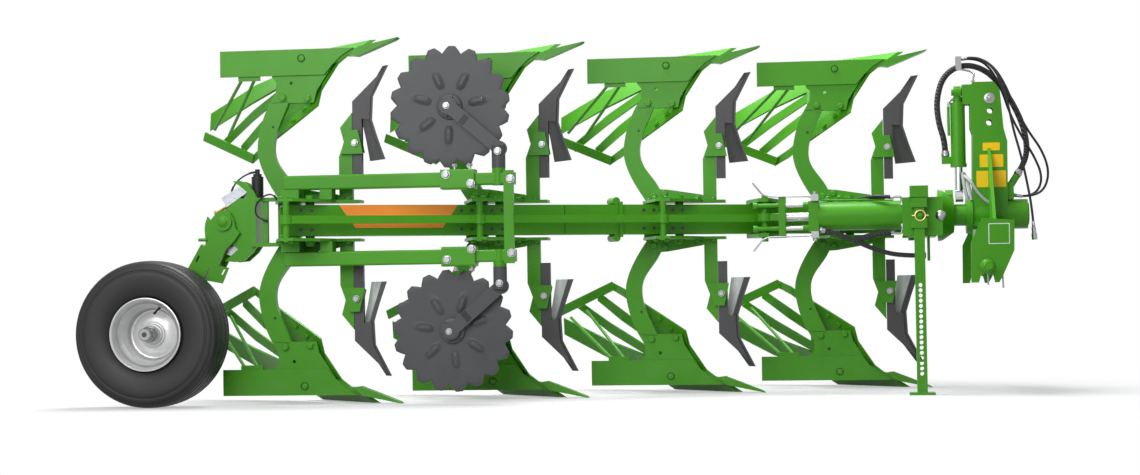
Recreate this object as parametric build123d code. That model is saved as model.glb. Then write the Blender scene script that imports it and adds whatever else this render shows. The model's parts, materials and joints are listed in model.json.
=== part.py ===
from build123d import *
import os
from math import asin, atan2, cos, degrees, hypot, pi, sin, sqrt, tan

# Four-furrow mounted reversible plough with variable furrow width.
# Millimetres. x runs forward along the travel, y to the left, z up.
# Shapes are drawn in the plough's own frame: x = 0, y = 0 at the rear share point and z = 0 on the
# level of the beam's middle. save() moves them so that the ground is z = 0.

# working layout
body_count = 4
body_pitch = 950.0            # along the beam
furrow_width = 400.0          # as it stands
furrow_width_min = 320.0
furrow_width_max = 520.0
mid_height = 892.0            # beam middle above the share points
shift_x = -765.0              # puts the plan centre of the whole plough at the origin
shift_y = -699.0

# beam
beam_height = 150.0
beam_width = 100.0
beam_wall = 10.0
beam_offset = 95.0            # beam centre line at the rear share point's x
beam_front_x = 2500.0         # pivot on the turning frame
beam_rear_x = -545.0

# consoles that carry the bodies
plate_gap = 12.0
plate_thick = 14.0
pivot_back = 420.0            # console pivot behind the share point
pivot_pin_radius = 22.0
running_fit = 0.05
arm_dx = -66.0                # from the console pivot to the tie rod's pin
arm_dy = -186.0
tie_pin_radius = 16.0
tie_bar = 38.0

# plough bodies
leg_thick = 35.0
leg_side = 24.0               # near face of the leg, from the share point
landside_thick = 11.7
landside_side = 12.0
board_thick = 12.0

# wheel
wheel_x = -1180.0
wheel_y = -200.0
wheel_z = -537.0
wheel_radius = 355.0
tyre_width = 264.0
rim_radius = 178.0
arm_pivot_x = -867.0
arm_pivot_z = 5.0

# disc coulters
disc_radius = 295.0
disc_thick = 6.0
disc_teeth = 18
notch_depth = 34.0
tooth_tip = 36.0
disc_x = 262.0
disc_z = 541.0
disc_y = -32.0
swivel_x = 505.0
swivel_y = -75.0
bar_z = 185.0
bar_size = 70.0
tube_corner = 9.0

# turning frame, headstock and linkage
turn_y = 850.0
turn_shaft_radius = 55.0
turn_tube_radius = 75.0
stand_x = 2505.0
stand_y = 468.0
stand_size = 50.0
stand_play = 0.3
stand_hole_pitch = 25.6
link_span = 825.0             # between the lower-link plates' outer faces
link_pin_radius = 18.3
link_pin_length = 137.0
link_x = 2826.0
link_z = -266.0
top_link_radius = 16.0
top_link_gap = 60.0
tower_plate = 20.0
tower_height = 672.0
top_link_drops = [(2879.0, 84.0), (2880.0, 146.0), (2875.0, 207.0)]   # x and depth below the tower's top
reverse_x = 2720.0            # reversing cylinder beside the tower
reverse_pin_drop = 47.0       # its upper pin below the tower's top
crank_height = 98.0           # its lower pin above the turnover axis

# width cylinder
cyl_eye_x = 1741.0
cyl_eye_y = 666.0
cyl_base_x = 2470.0
cyl_base_y = 655.0
cyl_radius = 72.0
cyl_rod_radius = 22.0
cyl_eye_pin_radius = 16.0
cyl_eye_play = 6.5            # the open eye drifts from its pin as the beam swings

# hoses and cables
hose_diameter = 12.0
sleeve_diameter = 30.0
bundle_diameter = 24.0
cable_diameter = 8.0

# worked out from the sizes above
body_step = sqrt(body_pitch ** 2 - furrow_width ** 2)
beam_angle = asin(furrow_width / body_pitch)
slope = tan(beam_angle)
plate_z = beam_height / 2 + plate_gap
deck_z = plate_z + plate_thick
beam_front_y = beam_offset + beam_front_x * slope
front_tie_x = beam_front_x + arm_dx
front_tie_y = beam_front_y + arm_dy
top_link_holes = [(x, tower_height - drop) for x, drop in top_link_drops]
reverse_pin_z = tower_height - reverse_pin_drop


def beam_line(x):
    """y of the beam's centre line at x."""
    return beam_offset + x * slope


def tip(k):
    """Share point of body k, 0 at the rear."""
    return k * body_step, k * furrow_width


def pivot(k):
    """Console pivot of body k, on the beam's centre line."""
    x = tip(k)[0] - pivot_back
    return x, beam_line(x)


def tie_pin(k):
    """Tie rod pin of console k."""
    x, y = pivot(k)
    return x + arm_dx, y + arm_dy


def block(x0, x1, y0, y1, z0, z1):
    """Box between two corners."""
    return Pos((x0 + x1) / 2, (y0 + y1) / 2, (z0 + z1) / 2) * Box(x1 - x0, y1 - y0, z1 - z0)


def plate_xz(points, y0, y1):
    """Side-view outline, as thick as y0 to y1."""
    face = make_face(Polyline([(x, y0, z) for x, z in points], close=True))
    return extrude(face, amount=y1 - y0, dir=(0, 1, 0))


def plate_xy(points, z0, z1):
    """Plan-view outline, as thick as z0 to z1."""
    face = make_face(Polyline([(x, y, z0) for x, y in points], close=True))
    return extrude(face, amount=z1 - z0, dir=(0, 0, 1))


def plate_yz(points, x0, x1):
    """Front-view outline, as thick as x0 to x1."""
    face = make_face(Polyline([(x0, y, z) for y, z in points], close=True))
    return extrude(face, amount=x1 - x0, dir=(1, 0, 0))


def curved_xz(left, right, y0, y1):
    """Side-view outline between two smooth edges given from bottom to top."""
    a = Spline([(x, y0, z) for x, z in left])
    b = Spline([(x, y0, z) for x, z in right])
    face = make_face([a, Line(a @ 1, b @ 1), b, Line(b @ 0, a @ 0)])
    return extrude(face, amount=y1 - y0, dir=(0, 1, 0))


def rod(start, end, radius):
    """Round bar from point to point."""
    a = Vector(*start)
    b = Vector(*end)
    plane = Plane(origin=a, z_dir=(b - a))
    return extrude(plane * Circle(radius), amount=(b - a).length)


def bar(start, end, width, height):
    """Flat bar from point to point, its height upright."""
    a = Vector(*start)
    b = Vector(*end)
    side = (b - a).cross(Vector(0, 0, 1))
    plane = Plane(origin=a, x_dir=side, z_dir=(b - a))
    return extrude(plane * Rectangle(width, height), amount=(b - a).length)


def bent_rod(points, radius, bends):
    """Round bar along straight runs joined by arcs."""
    path = FilletPolyline(*points, radius=bends)
    return sweep(Plane(origin=points[0], z_dir=path % 0) * Circle(radius), path=path)


def hose(points, diameter):
    """Tube along the route: runs joined by the widest arcs that leave a tenth of each run straight."""
    places = [Vector(*p) for p in points]
    runs = [b - a for a, b in zip(places, places[1:])]
    bends = []
    for a, b in zip(runs, runs[1:]):
        half_turn = a.get_angle(b) / 2 * pi / 180
        bends.append(0.45 * min(a.length, b.length) / tan(half_turn))
    path = FilletPolyline(*points, radius=bends)
    tube = sweep(Plane(origin=points[0], z_dir=path % 0) * Circle(diameter / 2), path=path)
    section = pi * diameter ** 2 / 4
    print("hose %2.0f across: length %5.0f, tightest bend %4.0f, volume / section x length %.3f"
          % (diameter, path.length, min(bends), tube.volume / section / path.length))
    return tube


def flip(shape):
    """The same shape on the other side of the beam's middle."""
    return mirror(shape, about=Plane.XY)


def at(shape, x, y):
    return Pos(x, y, 0) * shape


def solids(*shapes):
    found = []
    for shape in shapes:
        if isinstance(shape, (list, tuple)):
            found.extend(solids(*shape))
        else:
            found.extend(shape.solids())
    return found


volumes = {}


def save(node, *shapes):
    parts = [Pos(shift_x, shift_y, mid_height) * s for s in solids(*shapes)]
    whole = parts[0] if len(parts) == 1 else Compound(children=parts)
    volumes[node] = sum(p.volume for p in parts)
    export_step(whole, "parts/" + node + ".step")


# One lower plough body, with its share point at x = 0, y = 0. Heights are above the share point.
leg_rear_edge = [(-601, -101), (-694, -265), (-715, -361), (-709, -420), (-688, -503), (-652, -586)]
leg_front_edge = [(-519, -101), (-573, -230), (-624, -313), (-631, -373), (-622, -426), (-556, -586)]


def landside():
    y0 = landside_side
    rear = [(-898, -721), (-372, -721), (-330, -770), (-285, -812), (-225, -849), (-898, -849)]
    plate = plate_xz(rear, y0, y0 + landside_thick)
    bolt = rod((-482, y0 + 0.5, -806), (-482, y0 - 2, -806), 15)
    return plate + bolt


def chisel():
    outline = [(0, -892), (-14, -882), (-130, -835), (-205, -806), (-243, -811), (-196, -852)]
    return plate_xz(outline, -1, 62)


def share():
    near = make_face(Polyline([(-118, 62.3, -890), (-229, 62.3, -820), (-238, 62.3, -831), (-150, 62.3, -890)],
                              close=True))
    far = make_face(Polyline([(-470, 410, -890), (-592, 410, -812), (-601, 410, -823), (-502, 410, -890)],
                             close=True))
    return loft([near, far], ruled=True)


# breast of the moldboard: five points up the board at each x, as y and height
breast = [
    (-250, [(70, 74), (58, 76), (46, 78), (35, 80), (24, 82)]),
    (-300, [(96, 84), (75, 92), (55, 101), (38, 110), (24, 121)]),
    (-386, [(180, 88), (130, 124), (85, 167), (50, 208), (24, 250)]),
    (-404, [(198, 90), (150, 134), (100, 192), (60, 258), (26, 324)]),
    (-520, [(300, 97), (214, 168), (160, 250), (106, 330), (72, 399)]),
    (-640, [(404, 105), (270, 190), (210, 290), (150, 400), (112, 476)]),
]

# slats: x of each station, then y and height of the lower and of the upper edge
slats = [
    [(-640.3, 398, 108, 262, 195), (-850, 470, 172, 392, 272), (-1110, 530, 303, 512, 392)],
    [(-640.3, 262, 200, 236, 250), (-835, 372, 309, 352, 364), (-1032, 482, 444, 492, 492)],
    [(-640.3, 206, 296, 180, 350), (-765, 272, 377, 256, 438), (-908, 392, 480, 402, 534)],
    [(-640.3, 138, 428, 120, 472), (-740, 208, 500, 198, 545), (-822, 300, 540, 310, 580)],
]


def board_section(x, points, thick, proud=0.0):
    """Closed section of the board in the plane of x: its soil face, and its back moved off it."""
    y0, h0 = points[0]
    y1, h1 = points[-1]
    length = hypot(y1 - y0, h1 - h0)
    ny = (h1 - h0) / length
    nz = -(y1 - y0) / length
    front = [(x, y + proud * ny, h + proud * nz - mid_height) for y, h in points]
    back = [(x, y - thick * ny, h - thick * nz - mid_height) for y, h in reversed(points)]
    return make_face(Polyline(front + back, close=True))


def moldboard():
    shapes = [loft([board_section(x, pts, board_thick) for x, pts in breast], ruled=True)]
    for rows in slats:
        faces = [board_section(x, [(ya, ha), (yb, hb)], board_thick) for x, ya, ha, yb, hb in rows]
        shapes.append(loft(faces, ruled=True))
    return shapes


def leg():
    y0 = leg_side
    y1 = leg_side + leg_thick
    stem = curved_xz(leg_rear_edge, leg_front_edge, y0, y1)
    frog = [(-652, -586), (-428, -586), (-415, -640), (-366, -716), (-330, -770)]
    frog += [(-243.4, -811), (-201.2, -847.8), (-560, -847.8), (-640, -716), (-618, -690), (-620, -640)]
    room = loft([board_section(x, pts, board_thick + 0.4, 70) for x, pts in breast], ruled=True)
    shape = Pos(0, 0, -0.3) * (stem + plate_xz(frog, y0, y1)) - room
    return shape - rod((-540, y0 - 20, -683), (-540, y1 + 20, -683), 9)


def stays():
    """Bar across the slats' rear ends and its two struts from the landside."""
    cross = bar((-1123, 452, -468), (-808, 262, -332), 10, 46)
    strut_a = rod((-788, 30, -716), (-1058, 420, -500), 8)
    strut_b = rod((-724, 30, -716), (-966, 366, -462), 8)
    foot = block(-810, -700, 24.3, 36, -760, -700)
    return [cross, strut_a, strut_b, foot]


# skimmer blade: height, x of the front edge, then x and y of the rear edge
skimmer_rows = [(-298, -68, -165, 128), (-400, -104, -180, 116), (-490, -132, -196, 100), (-605, -126, -186, 92),
                (-757, -48, -76, 40)]


def skimmer_blade(front, back):
    """Blade between two offsets along x from its face."""
    faces = []
    for z, edge_x, tail_x, tail_y in skimmer_rows:
        pts = [(edge_x + front, 8, z), (tail_x + front, tail_y, z), (tail_x - back, tail_y, z), (edge_x - back, 8, z)]
        faces.append(make_face(Polyline(pts, close=True)))
    return loft(faces, ruled=True)


def skimmer():
    """Grey stem with its blade, below the console."""
    stem = block(-234.7, -188, 20, 50, -585, -214)
    stem += plate_xz([(-234.7, -540), (-188, -500), (-120, -492), (-110, -605), (-50, -735), (-100, -715),
                      (-234.7, -585)], 20, 36)
    return [stem - skimmer_blade(90, 9.3), skimmer_blade(0, 9)]


def console_half():
    """Lower half of a console: plate, leg cheek, skimmer arm and its clamp."""
    plan = [(-615, 62), (-615, -20), (-522, -300), (-450, -300), (-350, -175), (-300, -60), (-190, -30), (-190, 62)]
    plate = plate_xy(plan, -deck_z, -plate_z)
    cheek = plate_xz([(-600, -deck_z), (-600, -112), (-560, -165), (-488, -160), (-312, -131), (-250, -deck_z)],
                     leg_side - 18, leg_side - 0.3)
    arm = plate_xz([(-304, -deck_z), (-237, -deck_z), (-237, -530), (-297, -457), (-278, -385), (-304, -314)],
                   20, 50)
    clamp = plate_xz([(-291, -327), (-179, -327), (-203, -443), (-255, -443)], -4, 19.7)
    rear = plate_xz([(-250, -335), (-183, -335), (-203, -435), (-240, -435)], 50.3, 62)
    link = block(-256, -236, 19.7, 50.3, -430, -340)
    bolt = rod((-217, -12, -380), (-217, 70, -380), 9)
    return plate + cheek + arm + clamp + rear + link, bolt


def console(k):
    px, py = pivot(k)
    tx, ty = tie_pin(k)
    ox, oy = tip(k)
    lower, bolt = console_half()
    shape = lower + flip(lower)
    shape += block(-615, -505, 24, 60, -plate_z - 1, plate_z + 1)
    pin = rod((px - ox, py - oy, -deck_z - 22), (px - ox, py - oy, deck_z + 22), pivot_pin_radius)
    tie = rod((tx - ox, ty - oy, -deck_z - 6), (tx - ox, ty - oy, deck_z + 6), tie_pin_radius)
    shape += pin
    shape += tie
    return shape, bolt


def beam():
    x0 = beam_rear_x
    x1 = beam_front_x
    y1 = beam_front_y
    length = (x1 - x0) / cos(beam_angle)
    tube = block(-length, 0, -beam_width / 2, beam_width / 2, -beam_height / 2, beam_height / 2)
    tube -= block(-length - 1, -70, beam_wall - beam_width / 2, beam_width / 2 - beam_wall,
                  beam_wall - beam_height / 2, beam_height / 2 - beam_wall)
    tube += rod((0, 0, -beam_height / 2), (0, 0, beam_height / 2), beam_width / 2)
    shape = Pos(x1, y1, 0) * Rot(0, 0, degrees(beam_angle)) * tube
    for k in range(body_count):
        px, py = pivot(k)
        shape += rod((px, py, -beam_height / 2), (px, py, beam_height / 2), pivot_pin_radius + 14)
    # lugs that take the width cylinder's eye, above and below the tie rod
    foot_x = cyl_eye_x + 40
    outline = [(cyl_eye_x - 34, cyl_eye_y - 10), (cyl_eye_x - 20, cyl_eye_y - 32), (cyl_eye_x + 20, cyl_eye_y - 32),
               (cyl_eye_x + 34, cyl_eye_y - 10), (foot_x + 40, beam_line(foot_x + 40) - 40),
               (foot_x - 130, beam_line(foot_x - 130) - 40)]
    pad = [(foot_x - 120, beam_line(foot_x - 120) - 44), (foot_x + 36, beam_line(foot_x + 36) - 44),
           (foot_x + 10, beam_line(foot_x + 10) + 40), (foot_x - 146, beam_line(foot_x - 146) + 40)]
    for z in (80, -98):
        shape += plate_xy(outline, z, z + 18)
    shape += plate_xy(pad, 74, 98) + plate_xy(pad, -98, -74)
    shape += rod((cyl_eye_x, cyl_eye_y, -122), (cyl_eye_x, cyl_eye_y, 112), cyl_eye_pin_radius)
    # strap round the beam with an eye above and below
    half_w = beam_width / 2
    half_h = beam_height / 2
    strap = block(-9, 9, -half_w - 14, half_w + 14, -half_h - 14, half_h + 14)
    strap -= block(-10, 10, 1 - half_w, half_w - 1, 1 - half_h, half_h - 1)
    for z in (half_h + 18, -half_h - 18):
        strap += rod((-20, -half_w, z), (-20, half_w, z), 19) - block(-60, 60, -99, 99, 1 - half_h, half_h - 1)
    shape += Pos(1001, beam_line(1001), 0) * Rot(0, 0, degrees(beam_angle)) * strap
    for k in range(body_count):
        px, py = pivot(k)
        shape -= rod((px, py, -200), (px, py, 200), pivot_pin_radius + running_fit)
    shape -= rod((x1, y1, -200), (x1, y1, 200), 30 + running_fit)
    return shape


def tie_rod():
    half = tie_bar / 2
    ends = [tie_pin(0), (front_tie_x, front_tie_y)]
    x0, y0 = ends[0]
    x1, y1 = ends[1]
    length = hypot(x1 - x0, y1 - y0)
    shape = Pos(x0, y0, 0) * Rot(0, 0, degrees(beam_angle)) * block(0, length, -half, half, -half, half)
    pins = [tie_pin(k) for k in range(body_count)] + [ends[1]]
    for x, y in pins:
        shape += rod((x, y, -half - 3), (x, y, half + 3), 30)
    for x, y in pins:
        shape -= rod((x, y, -60), (x, y, 60), tie_pin_radius + running_fit)
    return shape


def turning_frame():
    """Transverse box that carries the beam, the tie rod's front pin, the cylinder and the stand."""
    shape = block(2470, 2610, 500, 1150, -80, 80)
    shape -= block(2482, 2598, 520, 1140, -68, 68)
    for z in (plate_z, -deck_z):
        shape += plate_xy([(2440, 1190), (2610, 1020), (2610, 1335), (2470, 1335), (2440, 1300)], z, z + plate_thick)
    shape += block(2588, 2610, 1150, 1335, -deck_z, deck_z)
    shape += block(2470, 2610, 1020, 1150, -deck_z, deck_z)
    shape -= block(2482, 2588, 1032, 1150, -plate_z, plate_z)
    shape -= block(2469, 2588, 1140, 1151, -plate_z, plate_z)
    shape += block(2425, 2620, 500, 520, -110, 80)
    for z in (24, -44):
        shape += plate_xy([(front_tie_x - 24, front_tie_y - 26), (front_tie_x + 20, front_tie_y - 34), (2472, 1010),
                           (2472, 1120), (front_tie_x + 10, front_tie_y + 34), (front_tie_x - 24, front_tie_y + 26)],
                          z, z + 20)
    shape += rod((beam_front_x, beam_front_y, -deck_z - 14), (beam_front_x, beam_front_y, deck_z + 14), 30)
    shape += rod((front_tie_x, front_tie_y, -60), (front_tie_x, front_tie_y, 60), tie_pin_radius)
    # recess and pin for the width cylinder
    shape -= block(2469, 2510, cyl_base_y - 55, cyl_base_y + 55, -30, 30)
    shape += rod((cyl_base_x + 4, cyl_base_y, -82), (cyl_base_x + 4, cyl_base_y, 82), 15)
    # plate under the box where the cylinder's hose ends
    shape += block(2548, 2560, 605, 685, -232, -79)
    # guides of the stand leg
    half = stand_size / 2 + stand_play
    for z in (28, -74):
        guide = block(stand_x - half - 12, stand_x + half + 12, stand_y - half - 12, 501, z, z + 46)
        shape += guide - block(stand_x - half, stand_x + half, stand_y - half, stand_y + half, z - 1, z + 47)
    return shape


def turn_shaft():
    hub = loft([Plane.YZ.offset(2610.3) * Pos(turn_y, 0) * Circle(132),
                Plane.YZ.offset(2632) * Pos(turn_y, 0) * Circle(128),
                Plane.YZ.offset(2690) * Pos(turn_y, 0) * Circle(88)], ruled=True)
    crank = plate_yz([(turn_y - 40, 0), (turn_y - 34, 105), (turn_y - 14, 128), (turn_y + 14, 128),
                      (turn_y + 34, 105), (turn_y + 40, 0)], 2650, 2688)
    shaft = rod((2680, turn_y, 0), (3064, turn_y, 0), turn_shaft_radius)
    return hub + crank + shaft


# Width cylinder, drawn from its base pin towards the eye along -x and then turned to its line.
cyl_length = hypot(cyl_base_x + 4 - cyl_eye_x, cyl_base_y - cyl_eye_y)
cyl_turn = degrees(atan2(cyl_base_y - cyl_eye_y, cyl_base_x + 4 - cyl_eye_x))
stop_rods = [(-40, 58), (-40, -58)]


def on_cylinder(shape):
    return Pos(cyl_base_x + 4, cyl_base_y, 0) * Rot(0, 0, cyl_turn) * shape


def width_barrel():
    shape = rod((-44, 0, 0), (-466, 0, 0), cyl_radius)
    shape += block(-45, 0, -22, 22, -28, 28)
    shape += rod((0, 0, -28), (0, 0, 28), 28)
    shape += block(-512, -460, -64, 44, -76, 76)
    for y, z in stop_rods:
        shape += rod((-540, y, z), (-505, y, z), 15)
        shape += rod((-790, y, z), (-530, y, z), 11)
        shape += rod((-790, y, z), (-768, y, z), 17)
    shape -= rod((-600, 0, 0), (-90, 0, 0), cyl_rod_radius + running_fit)
    shape -= rod((0, 0, -60), (0, 0, 60), 15 + running_fit)
    return on_cylinder(shape)


def width_rod():
    eye = -cyl_length
    shape = rod((eye, 0, 0), (-330, 0, 0), cyl_rod_radius)
    yoke = block(eye + 72, eye + 106, -62, 40, -104, 104)
    shape += yoke
    shape += block(eye + 10, eye + 74, -24, 24, -17, 17)
    shape += rod((eye, 0, -20), (eye, 0, 20), 36)
    shape -= rod((eye, 0, -60), (eye, 0, 60), cyl_eye_pin_radius + cyl_eye_play)
    for y, z in stop_rods:
        shape -= rod((eye - 20, y, z), (eye + 140, y, z), 11 + running_fit)
    return on_cylinder(shape)


def stand_leg():
    half = stand_size / 2
    leg_box = block(stand_x - half, stand_x + half, stand_y - half, stand_y + half, -880, 112)
    inner = half - 5
    leg_box -= block(stand_x - inner, stand_x + inner, stand_y - inner, stand_y + inner, -881, 113)
    for i in range(18):
        z = -354 - i * stand_hole_pitch
        leg_box -= rod((stand_x, stand_y - half - 1, z), (stand_x, stand_y + half + 1, z), 10)
    foot = block(stand_x - 62, stand_x + 62, stand_y - 55, stand_y + 55, -892, -880)
    cap = block(stand_x - 44, stand_x + 45, stand_y - 34, stand_y + 28, 78, 134)
    return leg_box + cap + foot


link_near = turn_y - link_span / 2
link_far = turn_y + link_span / 2
link_plate = 20.0


def link_outline():
    pts = [(2807, -31), (2962, -42), (2959, -190), (2902, -314), (2884, -346), (2864, -346), (2856, -312)]
    pts += [(2826, -300), (2796, -312), (2786, -346), (2750, -346), (2752, -148)]
    return pts


def headstock():
    shape = rod((2752, turn_y, 0), (3058, turn_y, 0), turn_tube_radius)
    shape += rod((2752, turn_y, 0), (2782, turn_y, 0), 96)
    shape += block(2802, 2940, link_near + link_plate, link_far - link_plate, -200, -60)
    shape -= block(2814, 2928, link_near + 1, link_far - 1, -188, -85)
    for y in (link_near, link_far - link_plate):
        shape += plate_xz(link_outline(), y, y + link_plate)
    crease = tower_height - 237
    outline = [(2783, -60), (2790, crease - 30), (2779, crease + 5), (2780, tower_height - 32)]
    outline += [(2795, tower_height), (2900, tower_height), (2930, tower_height - 42), (2945, crease)]
    outline += [(2961, crease - 65), (2957, -60)]
    lower = [(2783, -60), (2790, crease - 30), (2945, crease - 30), (2961, crease - 65), (2957, -60)]
    half = top_link_gap / 2
    for y in (turn_y - half - tower_plate, turn_y + half):
        shape += plate_xz(outline, y, y + tower_plate)
    for y in (turn_y - half - tower_plate - 16, turn_y + half + tower_plate):
        shape += plate_xz(lower, y, y + 16)
    shape += block(2812, 2828, turn_y - half - 1, turn_y + half + 1, 60, tower_height - 252)
    for side in (-1, 1):
        gusset = [(turn_y + side * 385, -61), (turn_y + side * 65, -61), (turn_y + side * 65, tower_height / 2)]
        shape += plate_yz(gusset, 2862, 2878)
    # block on the tower's front edge where the hoses end
    shape += block(2950, 2990, turn_y - 42, turn_y + 42, 76, 160)
    shape += hose_end(on_axis(sleeved_route), 0.3, 60, 18)
    for name in ("tractor_hose_a", "tractor_hose_b"):
        shape += hose_end(on_axis(tractor_routes[name]), 0.3, 30, 9)
    # lugs that carry the reversing cylinder's upper pin
    low = reverse_pin_z - 35
    high = reverse_pin_z + 35
    for x in (2742, 2778):
        shape += block(x, x + 14, turn_y - 36, turn_y + 36, low, high)
    for y in (turn_y - 50, turn_y + 30):
        shape += block(2744, 2830, y, y + 20, low - 30, high)
    shape -= rod((2700, turn_y, 0), (3100, turn_y, 0), turn_shaft_radius + running_fit)
    for x, z in top_link_holes:
        shape -= rod((x, turn_y - 80, z), (x, turn_y + 80, z), top_link_radius)
    shape -= rod((link_x, link_near - 5, link_z), (link_x, link_far + 5, link_z), 30.3)
    return shape


def cross_shaft():
    reach = link_pin_length
    shape = rod((link_x, link_near - 12, link_z), (link_x, link_far + 12, link_z), 30)
    shape += rod((link_x, link_near - 12 - reach, link_z), (link_x, link_far + 12 + reach, link_z), link_pin_radius)
    return shape


def reversing_barrel():
    x = reverse_x
    low = reverse_pin_z - 381
    top = reverse_pin_z - 52
    shape = rod((x, turn_y, low), (x, turn_y, top), 37)
    shape += rod((x, turn_y, low), (x, turn_y, low + 18), 41)
    shape += rod((x, turn_y, top - 13), (x, turn_y, top + 27), 22)
    shape += rod((x - 18, turn_y, reverse_pin_z), (x + 18, turn_y, reverse_pin_z), 32)
    shape += rod((x - 30, turn_y, reverse_pin_z), (x + 21.7, turn_y, reverse_pin_z), 16)
    shape += block(x - 84, x - 20, turn_y - 18, turn_y + 18, low + 18, low + 54)
    shape -= rod((x, turn_y, low - 44), (x, turn_y, top - 33), 20 + running_fit)
    return shape


def reversing_rod():
    x = reverse_x
    shape = rod((x, turn_y, crank_height + 2), (x, turn_y, reverse_pin_z - 205), 20)
    shape += rod((x - 19, turn_y, crank_height), (x + 19, turn_y, crank_height), 32)
    shape -= rod((x - 30, turn_y, crank_height), (x + 30, turn_y, crank_height), 16)
    return shape


def wheel_bracket():
    """Carrier behind the rear console with the wheel arm's bearing."""
    outline = [(-797, 119), (-762, 119), (-752, 150), (-788, 179), (-826, 203), (-788, 206), (-768, 199), (-721, 156)]
    outline += [(-704, 121), (-704, -117), (-724, -146), (-772, -188), (-821, -192), (-868, -186), (-800, -130)]
    outline += [(-905, -48), (-912, 20), (-880, 50)]
    shape = plate_xz(outline, -38, -23) + plate_xz(outline, 53, 68)
    shape += block(-730, -704, -60, 68, -117, 119)
    shape -= rod((arm_pivot_x, -60, arm_pivot_z), (arm_pivot_x, 80, arm_pivot_z), 24 + running_fit)
    for sign in (-1, 1):
        low = min(sign * (deck_z + 0.3), sign * (deck_z + 18))
        shape += block(-722, -566, -60, 3, low, low + 17.7)
    shape += block(-671, -647, -48, -22, -deck_z - 1, deck_z + 1)
    return shape


def wheel_stops():
    """Galvanised stop blocks between the carrier's plates, above and below the bearing."""
    upper = [(-888, 123), (-802, 175), (-778, 181), (-747, 160), (-769, 140), (-861, 78)]
    lower = [(-888, -134), (-815, -110), (-767, -111), (-763, -128), (-787, -153), (-824, -165), (-880, -150)]
    return [plate_xz(upper, -22.7, 52.7), plate_xz(lower, -22.7, 52.7)]


def wheel_arm():
    px, pz = arm_pivot_x, arm_pivot_z
    plate = [(-947, 33), (-932, 14), (-896, 58), (-866, 62), (-833, 48), (-814, 10), (-806, -30), (-785, -50)]
    plate += [(-815, -92), (-854, -128), (-905, -225), (-1010, -200), (-968, -136), (-958, -98), (-962, -28)]
    plate += [(-959, 0)]
    shape = plate_xz(plate, -60, -44) + plate_xz(plate, 74, 90)
    shape += rod((px, -74, pz), (px, 98, pz), 24)
    shape += rod((px, -74, pz), (px, -44, pz), 44)
    shape += rod((px, 74, pz), (px, 98, pz), 44)
    leg_dir = atan2(wheel_x - px, pz - wheel_z)
    tube = block(-45, 45, -60, -5, -660, -150)
    swing = Pos(px, 0, pz) * Rot(0, degrees(-leg_dir), 0) * tube
    shape += swing
    shape += plate_xz([(-995, -180), (-912, -192), (-905, -225), (-1010, -200)], -60, 90)
    # slotted lugs on both edges of the arm
    shape += plate_xz([(-1030, -197), (-996, -140), (-950, -152), (-1000, -250)], -60, -50)
    shape += plate_xz([(-930, -200), (-842, -220), (-875, -296), (-960, -280)], -60, -50)
    shape -= bar((-991, -55, -158), (-1006, -55, -188), 30, 9)
    shape -= bar((-861, -55, -222), (-878, -55, -254), 30, 9)
    shape += rod((-988, -52, -82), (-950, -52, -82), 7)
    shape += rod((wheel_x, -20, wheel_z), (wheel_x, wheel_y - 120, wheel_z), 28)
    return shape


def connector_can():
    """Black connector housing that stands on the carrier."""
    shape = rod((-716, 20, 119.3), (-716, 20, 226), 29)
    shape += rod((-716, 20, 226), (-716, 20, 240), 21)
    return shape + rod((-716, 20, 240), (-716, 20, 263), 12)


def around_axle(profile):
    """Turn a profile, given as across the wheel and radius, round the wheel's axle."""
    face = make_face(Polyline([(a, r, 0) for a, r in profile], close=True))
    turned = revolve(face, Axis.X, 360)
    return Pos(wheel_x, wheel_y, wheel_z) * Rot(0, 0, 90) * turned


def tyre():
    half = tyre_width / 2
    r = wheel_radius
    outer = [(-half + 30, rim_radius - 20), (-half + 8, rim_radius + 30), (-half, r - 105), (-half + 8, r - 52)]
    outer += [(-half + 34, r - 16), (-half + 78, r), (half - 78, r), (half - 34, r - 16), (half - 8, r - 52)]
    outer += [(half, r - 105), (half - 8, rim_radius + 30), (half - 30, rim_radius - 20)]
    inner = [(half - 46, rim_radius - 20), (half - 30, r - 100), (half - 70, r - 34), (-half + 70, r - 34)]
    inner += [(-half + 30, r - 100), (-half + 46, rim_radius - 20)]
    return around_axle(outer + inner)


def rim():
    half = tyre_width / 2
    w = half - 20
    r = rim_radius
    outer = [(-w, r), (-w, r - 20.3), (-w + 30, r - 20.3), (-w + 38, r - 30), (w - 38, r - 30)]
    outer += [(w - 30, r - 20.3), (w, r - 20.3), (w, r)]
    inner = [(w + 5, r), (w + 5, r - 26), (w - 28, r - 26), (w - 36, r - 37), (12, r - 37), (-6, r - 56), (-30, 96)]
    inner += [(-30, 60), (-38, 60), (-38, 98), (-16, r - 50), (0, r - 37), (-w + 36, r - 37), (-w + 28, r - 26)]
    inner += [(-w - 5, r - 26), (-w - 5, r)]
    shape = around_axle(outer + inner)
    hub = around_axle([(-112, 28.3), (-112, 62), (-50, 62), (-50, 74), (-36, 74), (-36, 62), (20, 62), (20, 28.3)])
    shape += hub
    return shape


def rounded(tube):
    """A bar along x with its long edges rounded."""
    return fillet(tube.edges().filter_by(Axis.X), tube_corner)


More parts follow.
